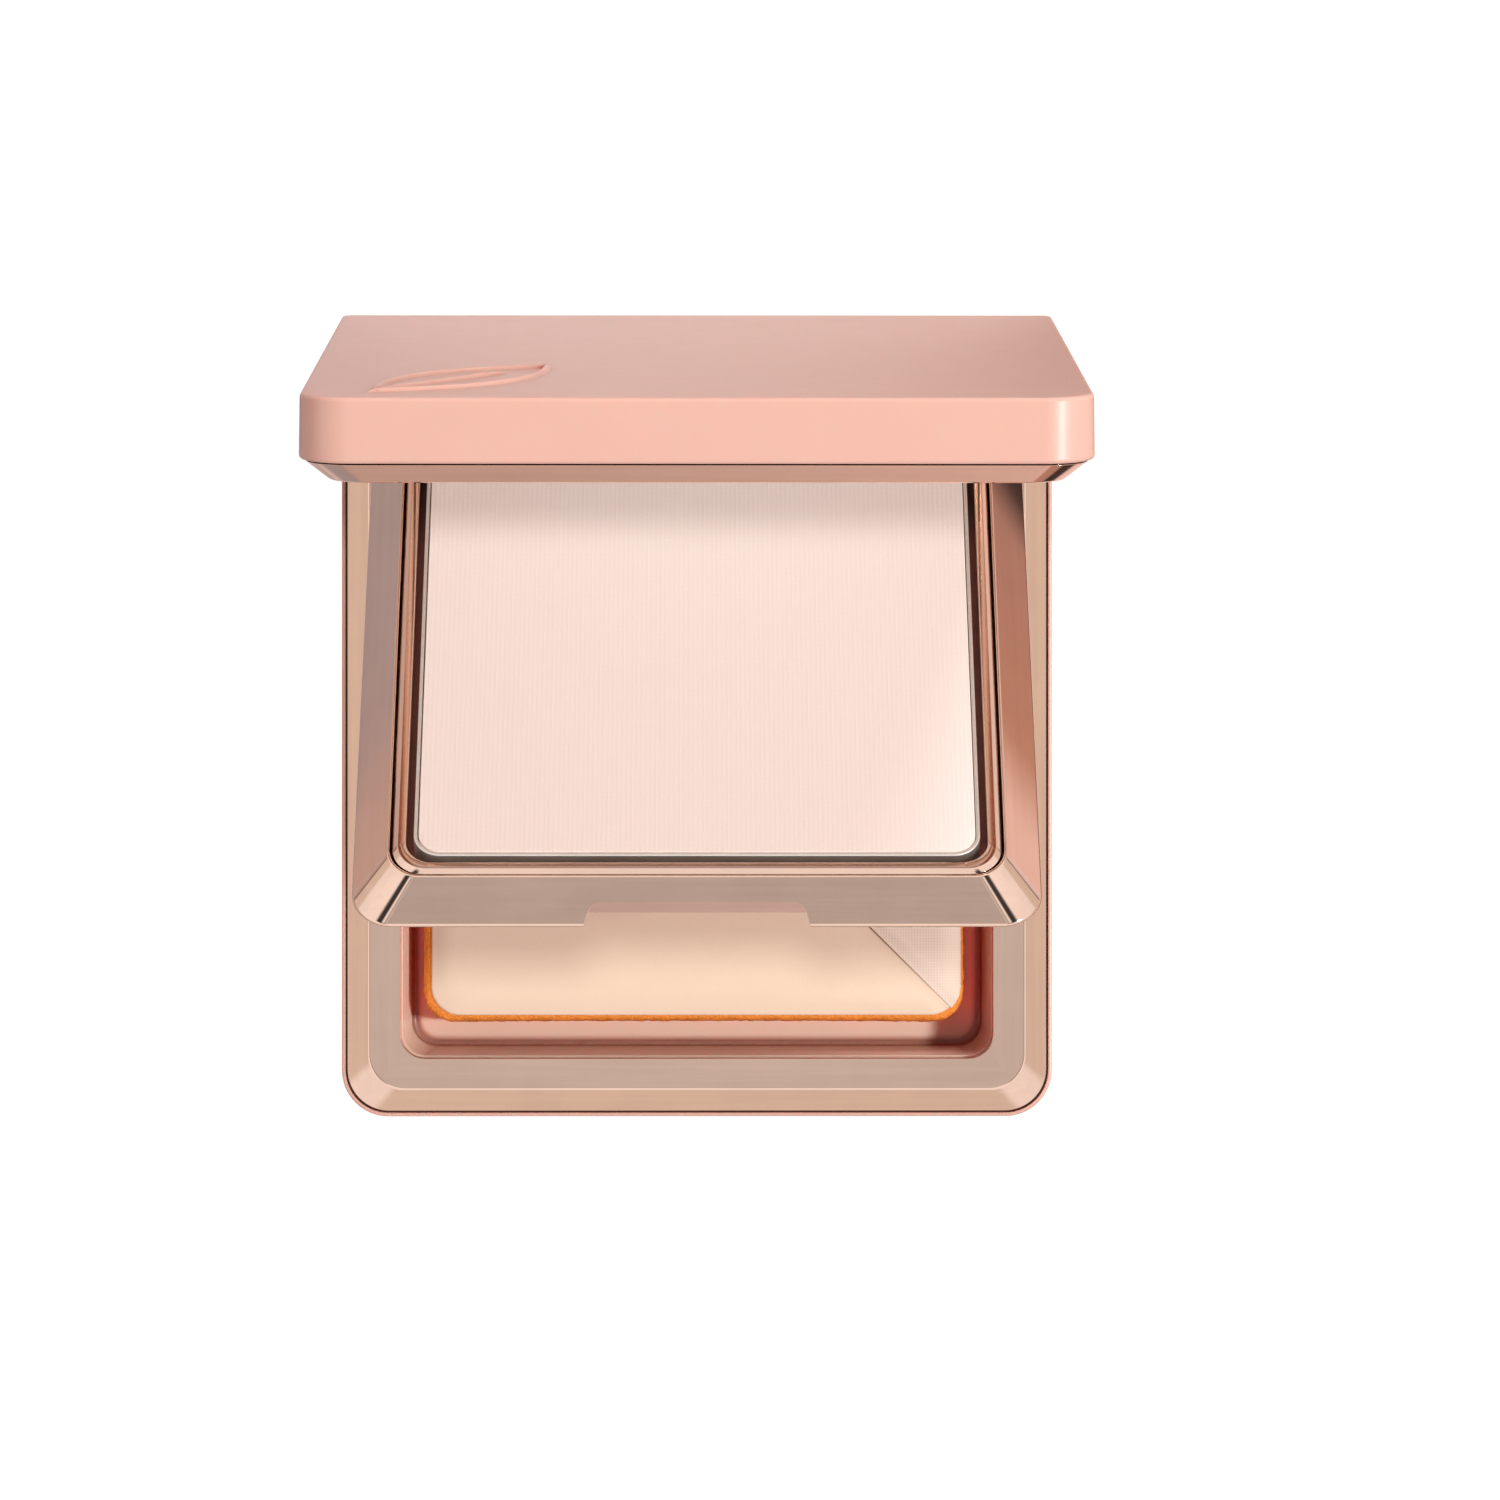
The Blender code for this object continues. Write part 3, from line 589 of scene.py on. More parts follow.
def rose_gold(name, crease_shade_tints):
    """Plated trim: mirror bright, with faint streaks of tone that run along each side."""
    shader = Shader(name, METAL, 0.05, metallic=1.0)
    across, along = [shader.math("ABSOLUTE", axis) for axis in shader.axes()]
    on_side = shader.math("GREATER_THAN", across, along)
    in_front = shader.math("SUBTRACT", 1.0, on_side)
    streaks = shader.math("ADD", shader.math("MULTIPLY", on_side, shader.noise(0.9, 3.0, (1.0, 0.04, 1.0))),
                          shader.math("MULTIPLY", in_front, shader.noise(0.9, 3.0, (0.04, 1.0, 1.0))))
    smears = shader.noise(5.0, 3.0)
    tone = shader.mix(shader.blend(streaks, smears, 0.6), shade(METAL, 0.82), shade(METAL, 1.15))
    # painted shade: the gold's tone darkens in creases and where parts meet
    shader.set({"Base Color": shader.paint_crease_shade(tone, GOLD_SHADE_REACH, crease_shade_tints),
                "Roughness": shader.remap(smears, 0.03, 0.08)})
    return shader.material


def patterned(shader, pattern, first, second, depth):
    """Two tones and a relief in one pattern."""
    shader.set({"Base Color": shader.mix(pattern, first, second)})
    shader.bump(pattern, depth)
    return shader.material


def metal(name, colour, roughness, grain):
    """Plain metal with lines of a given grain, in millimetres, along its length."""
    shader = Shader(name, colour, roughness, metallic=1.0)
    lines = shader.noise(grain, 3.0, (0.08, 1.0, 1.0))
    shader.set({"Roughness": shader.remap(lines, roughness - 0.05, roughness + 0.08)})
    return patterned(shader, lines, colour, shade(colour, 0.85), 0.002)


def pressed_powder():
    """Fine powder that keeps the weave of the cloth it was pressed through."""
    shader = Shader("pressed_powder", POWDER, 0.92)
    lengthwise = shader.math("POWER", shader.ribs(0.43, "X", 0.6), 2.0)
    weave = shader.blend(lengthwise, shader.ribs(0.55, "Y", 3.0), 0.8)
    relief = shader.math("MULTIPLY", weave, shader.remap(shader.noise(1.6, 3.0), 0.3, 1.4))
    specks = shader.noise(0.15, 4.0)
    crumbs = shader.math("LESS_THAN", shader.grains(0.9), 0.13)
    tone = shader.math("ADD", shader.blend(relief, specks, 0.3), shader.math("MULTIPLY", crumbs, 0.5))
    for height, depth in ((relief, 0.014), (specks, 0.020), (crumbs, 0.020)):
        shader.bump(height, depth)
    shader.set({"Base Color": shader.mix(tone, POWDER_LOW, POWDER),
                "Specular IOR Level": 0.15, "Sheen Weight": 0.15})
    return shader.material


def orange_foam():
    """Fine open foam: small pores, with lighter walls between them."""
    shader = Shader("orange_foam", FOAM, 0.85)
    pores = shader.grains(0.16)
    tone = shader.mix(shader.math("MULTIPLY", pores, 1.3), shade(FOAM, 0.72), shade(FOAM, 1.15))
    shader.bump(pores, 0.07)
    shader.bump(shader.noise(0.35, 5.0), 0.09)
    shader.set({"Base Color": tone, "Specular IOR Level": 0.2})
    shader.set_softness(0.15, (1.0, 0.4, 0.15), 0.8)
    return shader.material


def cover_cloth():
    """Smooth flocked cloth with a faint pile."""
    shader = Shader("cream_velour", CREAM, 0.82)
    pile = shader.noise(0.10, 3.0)
    patches = shader.noise(2.2, 3.0)
    shader.bump(pile, 0.016)
    shader.bump(patches, 0.02)
    shader.set({"Base Color": shader.mix(shader.blend(pile, patches, 0.6), shade(CREAM, 0.91), CREAM),
                "Sheen Weight": 0.25, "Sheen Roughness": 0.4, "Specular IOR Level": 0.2})
    return shader.material


def woven_cloth():
    """Plain weave: threads that pass over and under each other every other pitch."""
    shader = Shader("cream_weave", CREAM_WEAVE, 0.78)
    warp, weft = [shader.ribs(0.27, axis, 0.5) for axis in ("X", "Y")]
    weave = shader.math("MULTIPLY", shader.math("ADD", warp, weft), 0.5)
    fibres = shader.noise(0.07, 3.0)
    tone = shader.mix(shader.blend(weave, fibres, 0.7), shade(CREAM_WEAVE, 0.87), CREAM_WEAVE)
    shader.bump(weave, 0.022)
    shader.bump(fibres, 0.012)
    shader.set({"Base Color": tone, "Sheen Weight": 0.2, "Specular IOR Level": 0.25})
    return shader.material


def silvered_glass():
    shader = Shader("silvered_glass", SILVER, 0.015, metallic=1.0)
    shader.set({"Base Color": shader.mix(shader.noise(20.0), SILVER, (0.86, 0.87, 0.875)),
                "Coat Weight": 0.4, "Coat Roughness": 0.01})
    return shader.material


def label_paper():
    shader = Shader("label_paper", (0.80, 0.66, 0.60), 0.55)
    return patterned(shader, shader.noise(0.25, 4.0, (1.0, 0.35, 1.0)),
                     (0.77, 0.63, 0.57), (0.83, 0.69, 0.63), 0.004)


def glue_pad():
    shader = Shader("glue_pad", (0.78, 0.77, 0.72), 0.6)
    return patterned(shader, shader.grains(0.4), (0.72, 0.71, 0.66), (0.84, 0.83, 0.79), 0.05)


def floor_paper():
    """White paper to the camera. What it throws back on to the object changes with the distance."""
    shader = Shader("floor_paper", (0.5, 0.5, 0.5), 0.9)
    distance = shader.vector_math("LENGTH", shader.place)
    sides = []
    for stops in (LEFT_FLOOR, RIGHT_FLOOR):
        reach = stops[-1][0]
        sides.append(shader.ramp(shader.math("DIVIDE", distance, reach),
                                 [(radius / reach, colour) for radius, colour in stops]))
    from_left = shader.smooth_range(shader.axes()[0], -0.02, 0.06)
    shader.set({"Base Color": shader.mix(from_left, *sides), "Specular IOR Level": 0.0})
    glow = shader.add("ShaderNodeEmission")
    shader.feed(glow.inputs["Strength"], PAPER_STRENGTH)
    seen = shader.add("ShaderNodeLightPath").outputs["Is Camera Ray"]
    surface = shader.add("ShaderNodeMixShader")
    shader.feed(surface.inputs["Fac"], shader.math("MULTIPLY", seen, PAPER_GLOW))
    shader.feed(surface.inputs[1], shader.tree.nodes["Principled BSDF"].outputs["BSDF"])
    shader.feed(surface.inputs[2], glow.outputs["Emission"])
    shader.feed(shader.tree.nodes["Material Output"].inputs["Surface"], surface.outputs["Shader"])
    return shader.material


# ---- base


def make_base_shell(plastic):
    half = HALF["base_shell"]
    inner = half - WALL
    top = BASE_FOOT_Z - 0.04
    ledge = top - 0.45
    lip = half - HALF["base_bezel"] - REVEAL
    floor = 1.2
    edge = 0.9
    shell = to_object("base_shell", loft([
        (half - edge, 0.0, case_corner(CASE_CORNER - edge), 0.0),
        (half, 0.0, case_corner(CASE_CORNER), edge),
        (half, top, case_corner(CASE_CORNER), 0.22),
        (half - lip, top, case_corner(CASE_CORNER - lip), 0.08),
        (half - lip, ledge, case_corner(CASE_CORNER - lip), 0.0),
        (inner, ledge, CASE_CORNER - WALL, 0.2),
        (inner, floor, CASE_CORNER - WALL, 0.5),
        (inner - 1.0, floor, CASE_CORNER - WALL - 1.0, 0.0),
    ]))
    arm_foot = 5.0
    back = HINGE.y + BARREL_RADIUS
    arm = [(HINGE.y - BARREL_RADIUS, HINGE.z), (HINGE.y - BARREL_RADIUS, arm_foot + 1.0),
           (half - WALL / 2, arm_foot), (half, arm_foot), (back, arm_foot + 1.6), (back, HINGE.z)]
    start, end = BASE_KNUCKLE
    combine(shell, "UNION", on_both_sides(lambda a, b: prism(arm, "x", a, b), start, end))
    combine(shell, "UNION", hinge_cylinders(BARREL_RADIUS, start, end))
    combine(shell, "DIFFERENCE", [
        hinge_cylinder(BARREL_RADIUS + 0.3, -start, start),
        hinge_cylinder(BORE_RADIUS, -half, half),
        label_block(LABEL_GAP, -PAST, LOW_Z["base_label"] + 0.2),
    ])
    finish(shell, "base_shell", plastic, 0.12)


def label_block(margin, low, high):
    """The label's rounded rectangle, grown by a margin."""
    near, far = BOX["base_label"]
    left, right = near.x - margin, far.x + margin
    front, back = near.y - margin, far.y + margin
    corners = [(left, front), (right, front), (right, back), (left, back)]
    return prism(rounded_outline(corners, LABEL_CORNER), "z", low, high)


def make_base_label(paper):
    label = to_object("base_label", label_block(0.0, *HEIGHTS["base_label"]))
    finish(label, "base_label", paper, 0.04)


def tray_arm_notches():
    """Cutters for the room that the tray's two hinge arms need in the back of the base."""
    start, end = TRAY_KNUCKLE
    front, floor = WELL_HALF - 2.5, ARM_Z - 0.3
    return on_both_sides(lambda a, b: box((a, front, floor), (b, BEHIND_Y, RIM_Z + PAST)),
                         start - KNUCKLE_GAP, end + KNUCKLE_GAP)


def make_base_bezel(gold):
    tongue = HALF["base_shell"] - WALL - TONGUE_GAP
    tongue_inner = tongue - 1.4
    foot = LOW_Z["base_bezel"]
    under = RIM_Z - 0.9
    bezel = to_object("base_bezel", loft([
        (HALF["base_bezel"], BASE_FOOT_Z, case_corner(BEZEL_CORNER), 0.10),
        (RIM_HALF, RIM_Z, case_corner(RIM_CORNER), 0.15),
        (WELL_HALF, RIM_Z, WELL_CORNER, 0.14),
        (WELL_HALF, under, WELL_CORNER, 0.0),
        (tongue_inner, under, RIM_CORNER - 1.0, 0.0),
        (tongue_inner, foot, RIM_CORNER - 1.0, 0.2),
        (tongue, foot, RIM_CORNER - 0.6, 0.2),
        (tongue, BASE_FOOT_Z, RIM_CORNER - 0.6, 0.0),
    ], closed=True))
    end = BASE_KNUCKLE[1] + KNUCKLE_GAP
    hinge_room = box((-end, RIM_HALF + 0.25, foot - PAST), (end, BEHIND_Y, RIM_Z + PAST))
    combine(bezel, "DIFFERENCE", [hinge_room, *tray_arm_notches()])
    finish(bezel, "base_bezel", gold, 0.10)
    return bezel


def make_puff_well(plastic):
    top = HIGH_Z["puff_well"]
    floor = LOW_Z["puff_well"] + 0.8
    foot = WELL_HALF - 0.9
    wall = 0.8
    well = to_object("puff_well", loft([
        (foot - 1.0, floor - wall, WELL_CORNER, 0.0),
        (foot + wall, floor - wall, WELL_CORNER + wall, 1.2),
        (WELL_HALF + wall, top - wall, WELL_CORNER + wall, 0.3),
        (HALF["puff_well"], top - wall, RIM_CORNER - 1.2, 0.2),
        (HALF["puff_well"], top, RIM_CORNER - 1.2, 0.2),
        (WELL_HALF - WELL_LEDGE, top, WELL_CORNER - WELL_LEDGE, 0.05),
        (foot, floor, WELL_CORNER, 0.4),
        (foot - 2.5, floor, WELL_CORNER, 0.0),
    ]))
    combine(well, "DIFFERENCE", tray_arm_notches())
    finish(well, "puff_well", plastic, 0.10)
    return well


def make_hinge_pin(steel):
    end = HALF["hinge_pin"]
    pin = to_object("hinge_pin", hinge_cylinder(PIN_RADIUS, -end, end))
    finish(pin, "hinge_pin", steel, 0.15)


# ---- puff


def puff_centre():
    low, high = BOX["puff_foam"]
    return Vector(((low.x + high.x) / 2, (low.y + high.y) / 2, 0.0))


def remesh_evenly(thing, size):
    remesh = thing.modifiers.new("remesh", "REMESH")
    remesh.mode = "VOXEL"
    remesh.voxel_size = size * MM
    apply_modifiers(thing)


def swell(thing, grow, voxel, pressure, cap):
    """Fills a pad by cloth simulation, done grow times larger because Blender's cloth suits large things."""
    thing.data.transform(Matrix.Scale(grow, 4))
    remesh_evenly(thing, voxel * grow)
    rest = [vert.co.copy() for vert in thing.data.vertices]
    cloth = thing.modifiers.new("cloth", "CLOTH")
    cloth.settings.use_pressure = True
    cloth.settings.uniform_pressure_force = pressure
    cloth.settings.effector_weights.gravity = 0.0
    cloth.settings.quality = 5
    for step in range(1, SWELL_STEPS + 1):
        bpy.context.scene.frame_set(step)
    apply_modifiers(thing)
    bpy.context.scene.frame_set(1)
    limit = cap * grow * MM
    for vert, before in zip(thing.data.vertices, rest):
        moved = vert.co - before
        if moved.length > limit:
            vert.co = before + moved * (limit / moved.length)
    thing.data.transform(Matrix.Scale(1.0 / grow, 4))


def make_puff_foam(material):
    """The foam core, crowned and drawn in between its corners."""
    low, high = HEIGHTS["puff_foam"]
    half = HALF["puff_foam"] - 0.1
    foam_pad = slab("puff_foam", half, HEIGHTS["puff_foam"], PUFF_CORNER, 0.7, 0.35, PUFF_CORNER - 1.0)
    swell(foam_pad, grow=8.0, voxel=0.5, pressure=4.0, cap=0.35)
    centre = puff_centre() * MM
    spread = half * MM / max(vert.co.x for vert in foam_pad.data.vertices)
    for vert in foam_pad.data.vertices:
        vert.co.x *= spread
        vert.co.y *= spread
        vert.co.z = min(max(vert.co.z, low * MM), (high + 0.15) * MM)
        vert.co += centre
    rounding = foam_pad.modifiers.new("rounding", "SUBSURF")
    rounding.levels = 1
    rounding.render_levels = 1
    apply_modifiers(foam_pad)
    outwards = [Vector((vert.normal.x, vert.normal.y, 0.0)) for vert in foam_pad.data.vertices]
    for vert, outward in zip(foam_pad.data.vertices, outwards):
        vert.co += outward * (noise.noise(vert.co / (FOAM_GRAIN * MM)) * FOAM_ROUGHNESS * MM)
    foam_pad.data.shade_smooth()
    mount(foam_pad, "base", material, "puff_foam")
    return foam_pad


def outline_point(place, half, corner):
    """A point round a rounded square. Each unit of place is a quarter: first its corner, then a side."""
    quarter = math.floor(place)
    share = (place - quarter) * 2
    if share <= 1.0:
        return corner_point(quarter, share, half, corner)
    return QUARTERS[quarter % 4] @ Vector(((half - corner) * (3.0 - 2.0 * share), half, 0.0))


def sheet(name, half, corner, start, end, bottom_at, top_at):
    """Cloth over part of a rounded square, as a fan of rays from its middle, between two surfaces."""
    ray_count = int((end - start) * RAYS_IN_QUARTER)
    whole = end - start >= 4
    stops = [1.0 - (1.0 - step / CLOTH_RINGS) ** 1.6 for step in range(1, CLOTH_RINGS + 1)]
    mesh = bmesh.new()
    centre = puff_centre() + COVER_SHIFT
    rays = ray_count if whole else ray_count + 1

    def layer(height_at):
        """The points of one side: the middle one, and those along each ray."""
        middle = mesh.verts.new((centre.x, centre.y, height_at(Vector((0, 0, 0)), 0.0)))
        edges = [outline_point(start + (end - start) * i / ray_count, half, corner) for i in range(rays)]
        return middle, [[mesh.verts.new((centre.x + edge.x * stop, centre.y + edge.y * stop,
                                         height_at(edge * stop, stop))) for stop in stops] for edge in edges]

    top_middle, top = layer(top_at)
    low_middle, low = layer(bottom_at)
    last = len(stops) - 1
    for i in range(ray_count):
        j = (i + 1) % rays
        mesh.faces.new((top_middle, top[i][0], top[j][0]))
        mesh.faces.new((low_middle, low[j][0], low[i][0]))
        for k in range(last):
            mesh.faces.new((top[i][k], top[i][k + 1], top[j][k + 1], top[j][k]))
            mesh.faces.new((low[i][k + 1], low[i][k], low[j][k], low[j][k + 1]))
        mesh.faces.new((top[i][last], low[i][last], low[j][last], top[j][last]))
    if not whole:
        for i in (0, ray_count):
            rungs = list(zip([top_middle, *top[i]], [low_middle, *low[i]]))
            for (top_here, low_here), (top_next, low_next) in zip(rungs, rungs[1:]):
                mesh.faces.new((top_here, low_here, low_next, top_next))
    bmesh.ops.recalc_face_normals(mesh, faces=mesh.faces)
    return to_object(name, mesh)


def smoothstep(value):
    value = min(max(value, 0.0), 1.0)
    return value * value * (3.0 - 2.0 * value)


def make_puff_cloths(foam_pad, cream, weave):
    """The cover bonded to the foam, and the pocket over its far half, open along the diagonal."""
    tree = BVHTree.FromObject(foam_pad, bpy.context.evaluated_depsgraph_get())
    centre = puff_centre() + COVER_SHIFT
    cover_half = HALF["puff_foam"] - COVER_INSET
    pocket_half = HALF["puff_foam"] - POCKET_INSET
    pocket_start = 3.25  # the open edge runs from corner to corner

    def foam_top(point):
        place = Vector((centre.x + point.x, centre.y + point.y, 20.0)) * MM
        hit = tree.ray_cast(place, Vector((0.0, 0.0, -1.0)))[0]
        return hit.z / MM if hit else LOW_Z["puff_foam"] + 2.0

    def cover_top(point, stop):
        """Half a millimetre above the foam, and thinner towards its bonded edge."""
        return foam_top(point) + 0.12 + 0.38 * smoothstep((1.0 - stop) * cover_half / 1.8)

    def pocket_gap(point):
        """How far the pocket stands off the cover: most in the middle of its open edge."""
        off = (point.x + point.y) / math.sqrt(2)
        along = (point.y - point.x) / (2 * pocket_half)
        return 0.22 * max(0.0, 1.0 - along * along) * math.exp(-off / 7.0)

    def pocket_low(point, stop):
        return cover_top(point, min(stop * pocket_half / cover_half, 1.0)) + 0.03 + pocket_gap(point)

    def pocket_top(point, stop):
        """The cloth's thickness above its lower side, with a hem along the open edge and thin at the rim."""
        off = (point.x + point.y) / math.sqrt(2)
        hem = 0.05 * math.exp(-((off - 1.1) / 0.5) ** 2)
        return pocket_low(point, stop) + 0.16 + hem - 0.10 * smoothstep((stop - 0.975) / 0.025)

    cover = sheet("puff_back_cover", cover_half, PUFF_CORNER - 0.3, 0, 4,
                  lambda point, stop: foam_top(point) + 0.02, cover_top)
    cover.data.shade_smooth()
    mount(cover, "base", cream, "puff_back_cover")
    pocket = sheet("puff_finger_pocket", pocket_half, PUFF_CORNER, pocket_start, pocket_start + 2,
                   pocket_low, pocket_top)
    shade_round(pocket)
    mount(pocket, "base", weave, "puff_finger_pocket")
    return cover, pocket


def make_velour_face(velour):
    node = "puff_velour_face"
    face = slab(node, HALF[node], HEIGHTS[node], PUFF_CORNER, 0.3, 0.25, PUFF_CORNER - 1.0)
    face.data.transform(Matrix.Translation(puff_centre() * MM))
    finish(face, node, velour)
    return face


# ---- tray


def make_tray_bezel(gold):
    half = HALF["tray_bezel"]
    low, high = HEIGHTS["tray_bezel"]
    inner = HALF["tray_pan_ring"] + 0.22
    bezel = to_object("tray_bezel", loft([
        (half, low, TRAY_CORNER, 0.07),
        (half, low + 0.26, TRAY_CORNER, 0.17),
        (half - TRAY_BEVEL + 0.1, high, 3.0, 0.12),
        (inner, high - 0.02, 2.95, 0.05),
        (inner, low, 2.95, 0.1),
    ], closed=True))
    top = low + NOTCH_HEIGHT
    foot_half = NOTCH_FOOT_HALF + (NOTCH_FOOT_HALF - NOTCH_TOP_HALF) / NOTCH_HEIGHT * PAST
    right = [(foot_half, low - PAST), (NOTCH_TOP_HALF, top)]
    corners = [*right, *[(-x, z) for x, z in reversed(right)]]
    combine(bezel, "DIFFERENCE", [prism(rounded_outline(corners, 0.9), "y", -half - PAST, -NOTCH_BACK)])
    finish(bezel, "tray_bezel", gold, 0.13)


def make_tray_pan_ring(gold):
    half = HALF["tray_pan_ring"]
    low, high = HEIGHTS["tray_pan_ring"]
    inner = half - RING_WIDTH
    ring = to_object("tray_pan_ring", loft([
        (half, low, 2.9, 0.1),
        (half, high - 0.28, 2.9, 0.06),
        (half - 0.48, high, 2.65, 0.05),
        (inner, high, 2.35, 0.15),
        (inner, low, 2.35, 0.1),
    ], closed=True))
    finish(ring, "tray_pan_ring", gold)


def make_powder_pan(aluminium):
    half = HALF["powder_pan"] - PAN_GAP
    low, high = HEIGHTS["powder_pan"]
    wall = 0.35
    pan = to_object("powder_pan", loft([
        (half - 1.0, low, PAN_CORNER - 0.6, 0.0),
        (half, low, PAN_CORNER, 0.6),
        (half, high, PAN_CORNER, 0.13),
        (half - wall, high, PAN_CORNER - wall, 0.13),
        (half - wall, low + wall, PAN_CORNER - wall, 0.4),
        (half - wall - 1.0, low + wall, PAN_CORNER - wall - 0.6, 0.0),
    ]))
    finish(pan, "powder_pan", aluminium)


def make_powder_cake(powder):
    node = "powder_cake"
    corner = PAN_CORNER - 0.37
    cake = slab(node, HALF[node] - PAN_GAP, HEIGHTS[node], corner, 0.5, 0.08, corner - 0.6)
    finish(cake, node, powder)


def make_tray_frame(plastic):
    half = WELL_HALF - 0.4
    tray = slab("tray_frame", half, TRAY_FLOOR_Z, WELL_CORNER, 0.35, 0.15, WELL_CORNER - 0.6)
    start, end = TRAY_KNUCKLE
    arm_top = HINGE.z + 1.3
    combine(tray, "UNION", on_both_sides(
        lambda a, b: box((a, half - 1.0, ARM_Z), (b, HINGE.y, arm_top)), start, end))
    combine(tray, "UNION", hinge_cylinders(BARREL_RADIUS, start, end))
    combine(tray, "DIFFERENCE", hinge_cylinders(BORE_RADIUS, start - PAST, end + PAST))
    finish(tray, "tray_frame", plastic, 0.12)


# ---- lid


def make_lid_shell(plastic):
    half = HALF["lid_shell"]
    top = BOX["mirror_pad"][1].z + 0.1 + WALL
    foot = LID_FOOT_Z + REVEAL
    inner = half - WALL
    ceiling = top - WALL
    draft = 0.13
    edge = 0.42
    shell = to_object("lid_shell", loft([
        (inner - 1.0, ceiling, CASE_CORNER - WALL - 1.0, 0.0),
        (inner, ceiling, CASE_CORNER - WALL, 0.5),
        (inner, foot, CASE_CORNER - WALL, 0.2),
        (half, foot, case_corner(CASE_CORNER), 0.38),
        (half - draft, top, case_corner(CASE_CORNER - draft), edge),
        (half - draft - 1.0, top, case_corner(CASE_CORNER - 1.0), 0.0),
    ]))
    end = LID_KNUCKLE_END
    arm = box((-end, inner - 0.3, HINGE.z), (end, half - 0.3, 15.0))
    combine(shell, "UNION", [arm, hinge_cylinder(BARREL_RADIUS, -end, end)])
    combine(shell, "DIFFERENCE", [hinge_cylinder(BORE_RADIUS, -end - PAST, end + PAST)])
    finish(shell, "lid_shell", plastic, 0.12)
    return top


def raised_line(name, points, closed, surface, width, height):
    """A line in low relief whose sides run smoothly into the surface it stands on."""
    mesh = bmesh.new()
    across_steps = 10
    rows = []
    count = len(points)
    for i, point in enumerate(points):
        before, after = points[i - 1], points[(i + 1) % count]
        taper = 1.0
        if not closed:
            before, after = points[max(i - 1, 0)], points[min(i + 1, count - 1)]
            taper = smoothstep(min(i, count - 1 - i) / 3)
        heading = (after - before).normalized()
        across = Vector((-heading.y, heading.x))
        row = []
        for step in range(across_steps + 1):
            side = step / across_steps * 2 - 1
            spot = point + across * (side * width / 2 * (0.3 + 0.7 * taper))
            rise = height * taper * (0.5 + 0.5 * math.cos(side * math.pi))
            row.append(mesh.verts.new((spot.x, spot.y, surface + rise)))
        rows.append(row)
    pairs = list(zip(rows, rows[1:]))
    if closed:
        pairs.append((rows[-1], rows[0]))
    for first, last in pairs:
        for k in range(across_steps):
            mesh.faces.new((first[k], last[k], last[k + 1], first[k + 1]))
    grown = bmesh.ops.extrude_face_region(mesh, geom=list(mesh.faces))
    for item in grown["geom"]:
        if isinstance(item, bmesh.types.BMVert):
            item.co.z = surface - 0.3
    bmesh.ops.recalc_face_normals(mesh, faces=mesh.faces)
    return to_object(name, mesh)


def make_leaf(plastic, surface):
    """The leaf outline and its vein, moulded in low relief near the lid's front left corner."""
    turn = Matrix.Rotation(math.radians(LEAF_TURN), 2)

    def on_lid(along, aside):
        return LEAF_MIDDLE + turn @ Vector((along * LEAF_LENGTH, aside * LEAF_WIDTH))

    side_steps = 48
    outline = []
    for side in (1.0, -1.0):
        for step in range(side_steps):
            along = side * (2.0 * step / side_steps - 1.0)
            outline.append(on_lid(along, side * (1.0 - along * along)))
    vein_start, vein_end, vein_steps = -1.14, 0.55, 30
    vein = [on_lid(vein_start + (vein_end - vein_start) * step / vein_steps, 0.0)
            for step in range(vein_steps + 1)]
    for name, points, closed in (("lid_leaf_outline", outline, True), ("lid_leaf_vein", vein, False)):
        line = raised_line(name, points, closed, surface - 0.02, width=1.05, height=0.37)
        shade_round(line)
        mount(line, "lid", plastic)


def make_lid_bezel(gold):
    tongue = HALF["lid_shell"] - WALL - TONGUE_GAP
    low, high = HEIGHTS["lid_bezel"]
    seat = LOW_Z["mirror"] - 0.05
    recess = HALF["mirror"] + 0.1
    opening = 27.5
    bezel = to_object("lid_bezel", loft([
        (LID_WAIST_HALF - 0.35, low, case_corner(RIM_CORNER - 0.2), 0.1),
        (LID_WAIST_HALF, low, case_corner(RIM_CORNER), 0.22),
        (HALF["lid_bezel"], LID_FOOT_Z, case_corner(BEZEL_CORNER), 0.10),
        (tongue, LID_FOOT_Z, RIM_CORNER - 0.6, 0.0),
        (tongue, high, RIM_CORNER - 0.6, 0.2),
        (recess, high, 2.8, 0.2),
        (recess, seat, 2.8, 0.0),
        (opening, seat, WELL_CORNER, 0.1),
        (opening, seat - 0.5, WELL_CORNER, 0.12),
        (opening + 0.35, low + 3.6, WELL_CORNER + 0.2, 0.1),
    ], closed=True))
    end = LID_KNUCKLE_END + KNUCKLE_GAP
    combine(bezel, "DIFFERENCE", [box((-end, 32.0, low - PAST), (end, BEHIND_Y, high + PAST))])
    finish(bezel, "lid_bezel", gold, 0.10)


def make_mirror(glass):
    mirror = slab("mirror", HALF["mirror"], HEIGHTS["mirror"], 2.6, 0.15, 0.15, 1.8)
    finish(mirror, "mirror", glass)


# ---- hidden pieces


def finish_hidden_pieces(steel, glue):
    """Plates, magnets and glue pads stay as the frame has them, with eased edges and a finish."""
    kinds = ("base_magnet", "tray_keeper", "lid_magnet")
    pairs = [kind + side for kind in kinds for side in ("_left", "_right")]
    for material, names in ((steel, ["weight_plate", *pairs]), (glue, ["pan_adhesive", "mirror_pad"])):
        for name in names:
            node = frame["nodes"][name]
            for slot in node.material_slots:
                slot.material = material
            ease_edges(node, 0.05)


# ---- stage, light and camera


def make_floor():
    mesh = bmesh.new()
    bmesh.ops.create_grid(mesh, x_segments=1, y_segments=1, size=FLOOR_HALF)
    floor = to_object("floor", mesh)
    floor.data.materials.append(floor_paper())


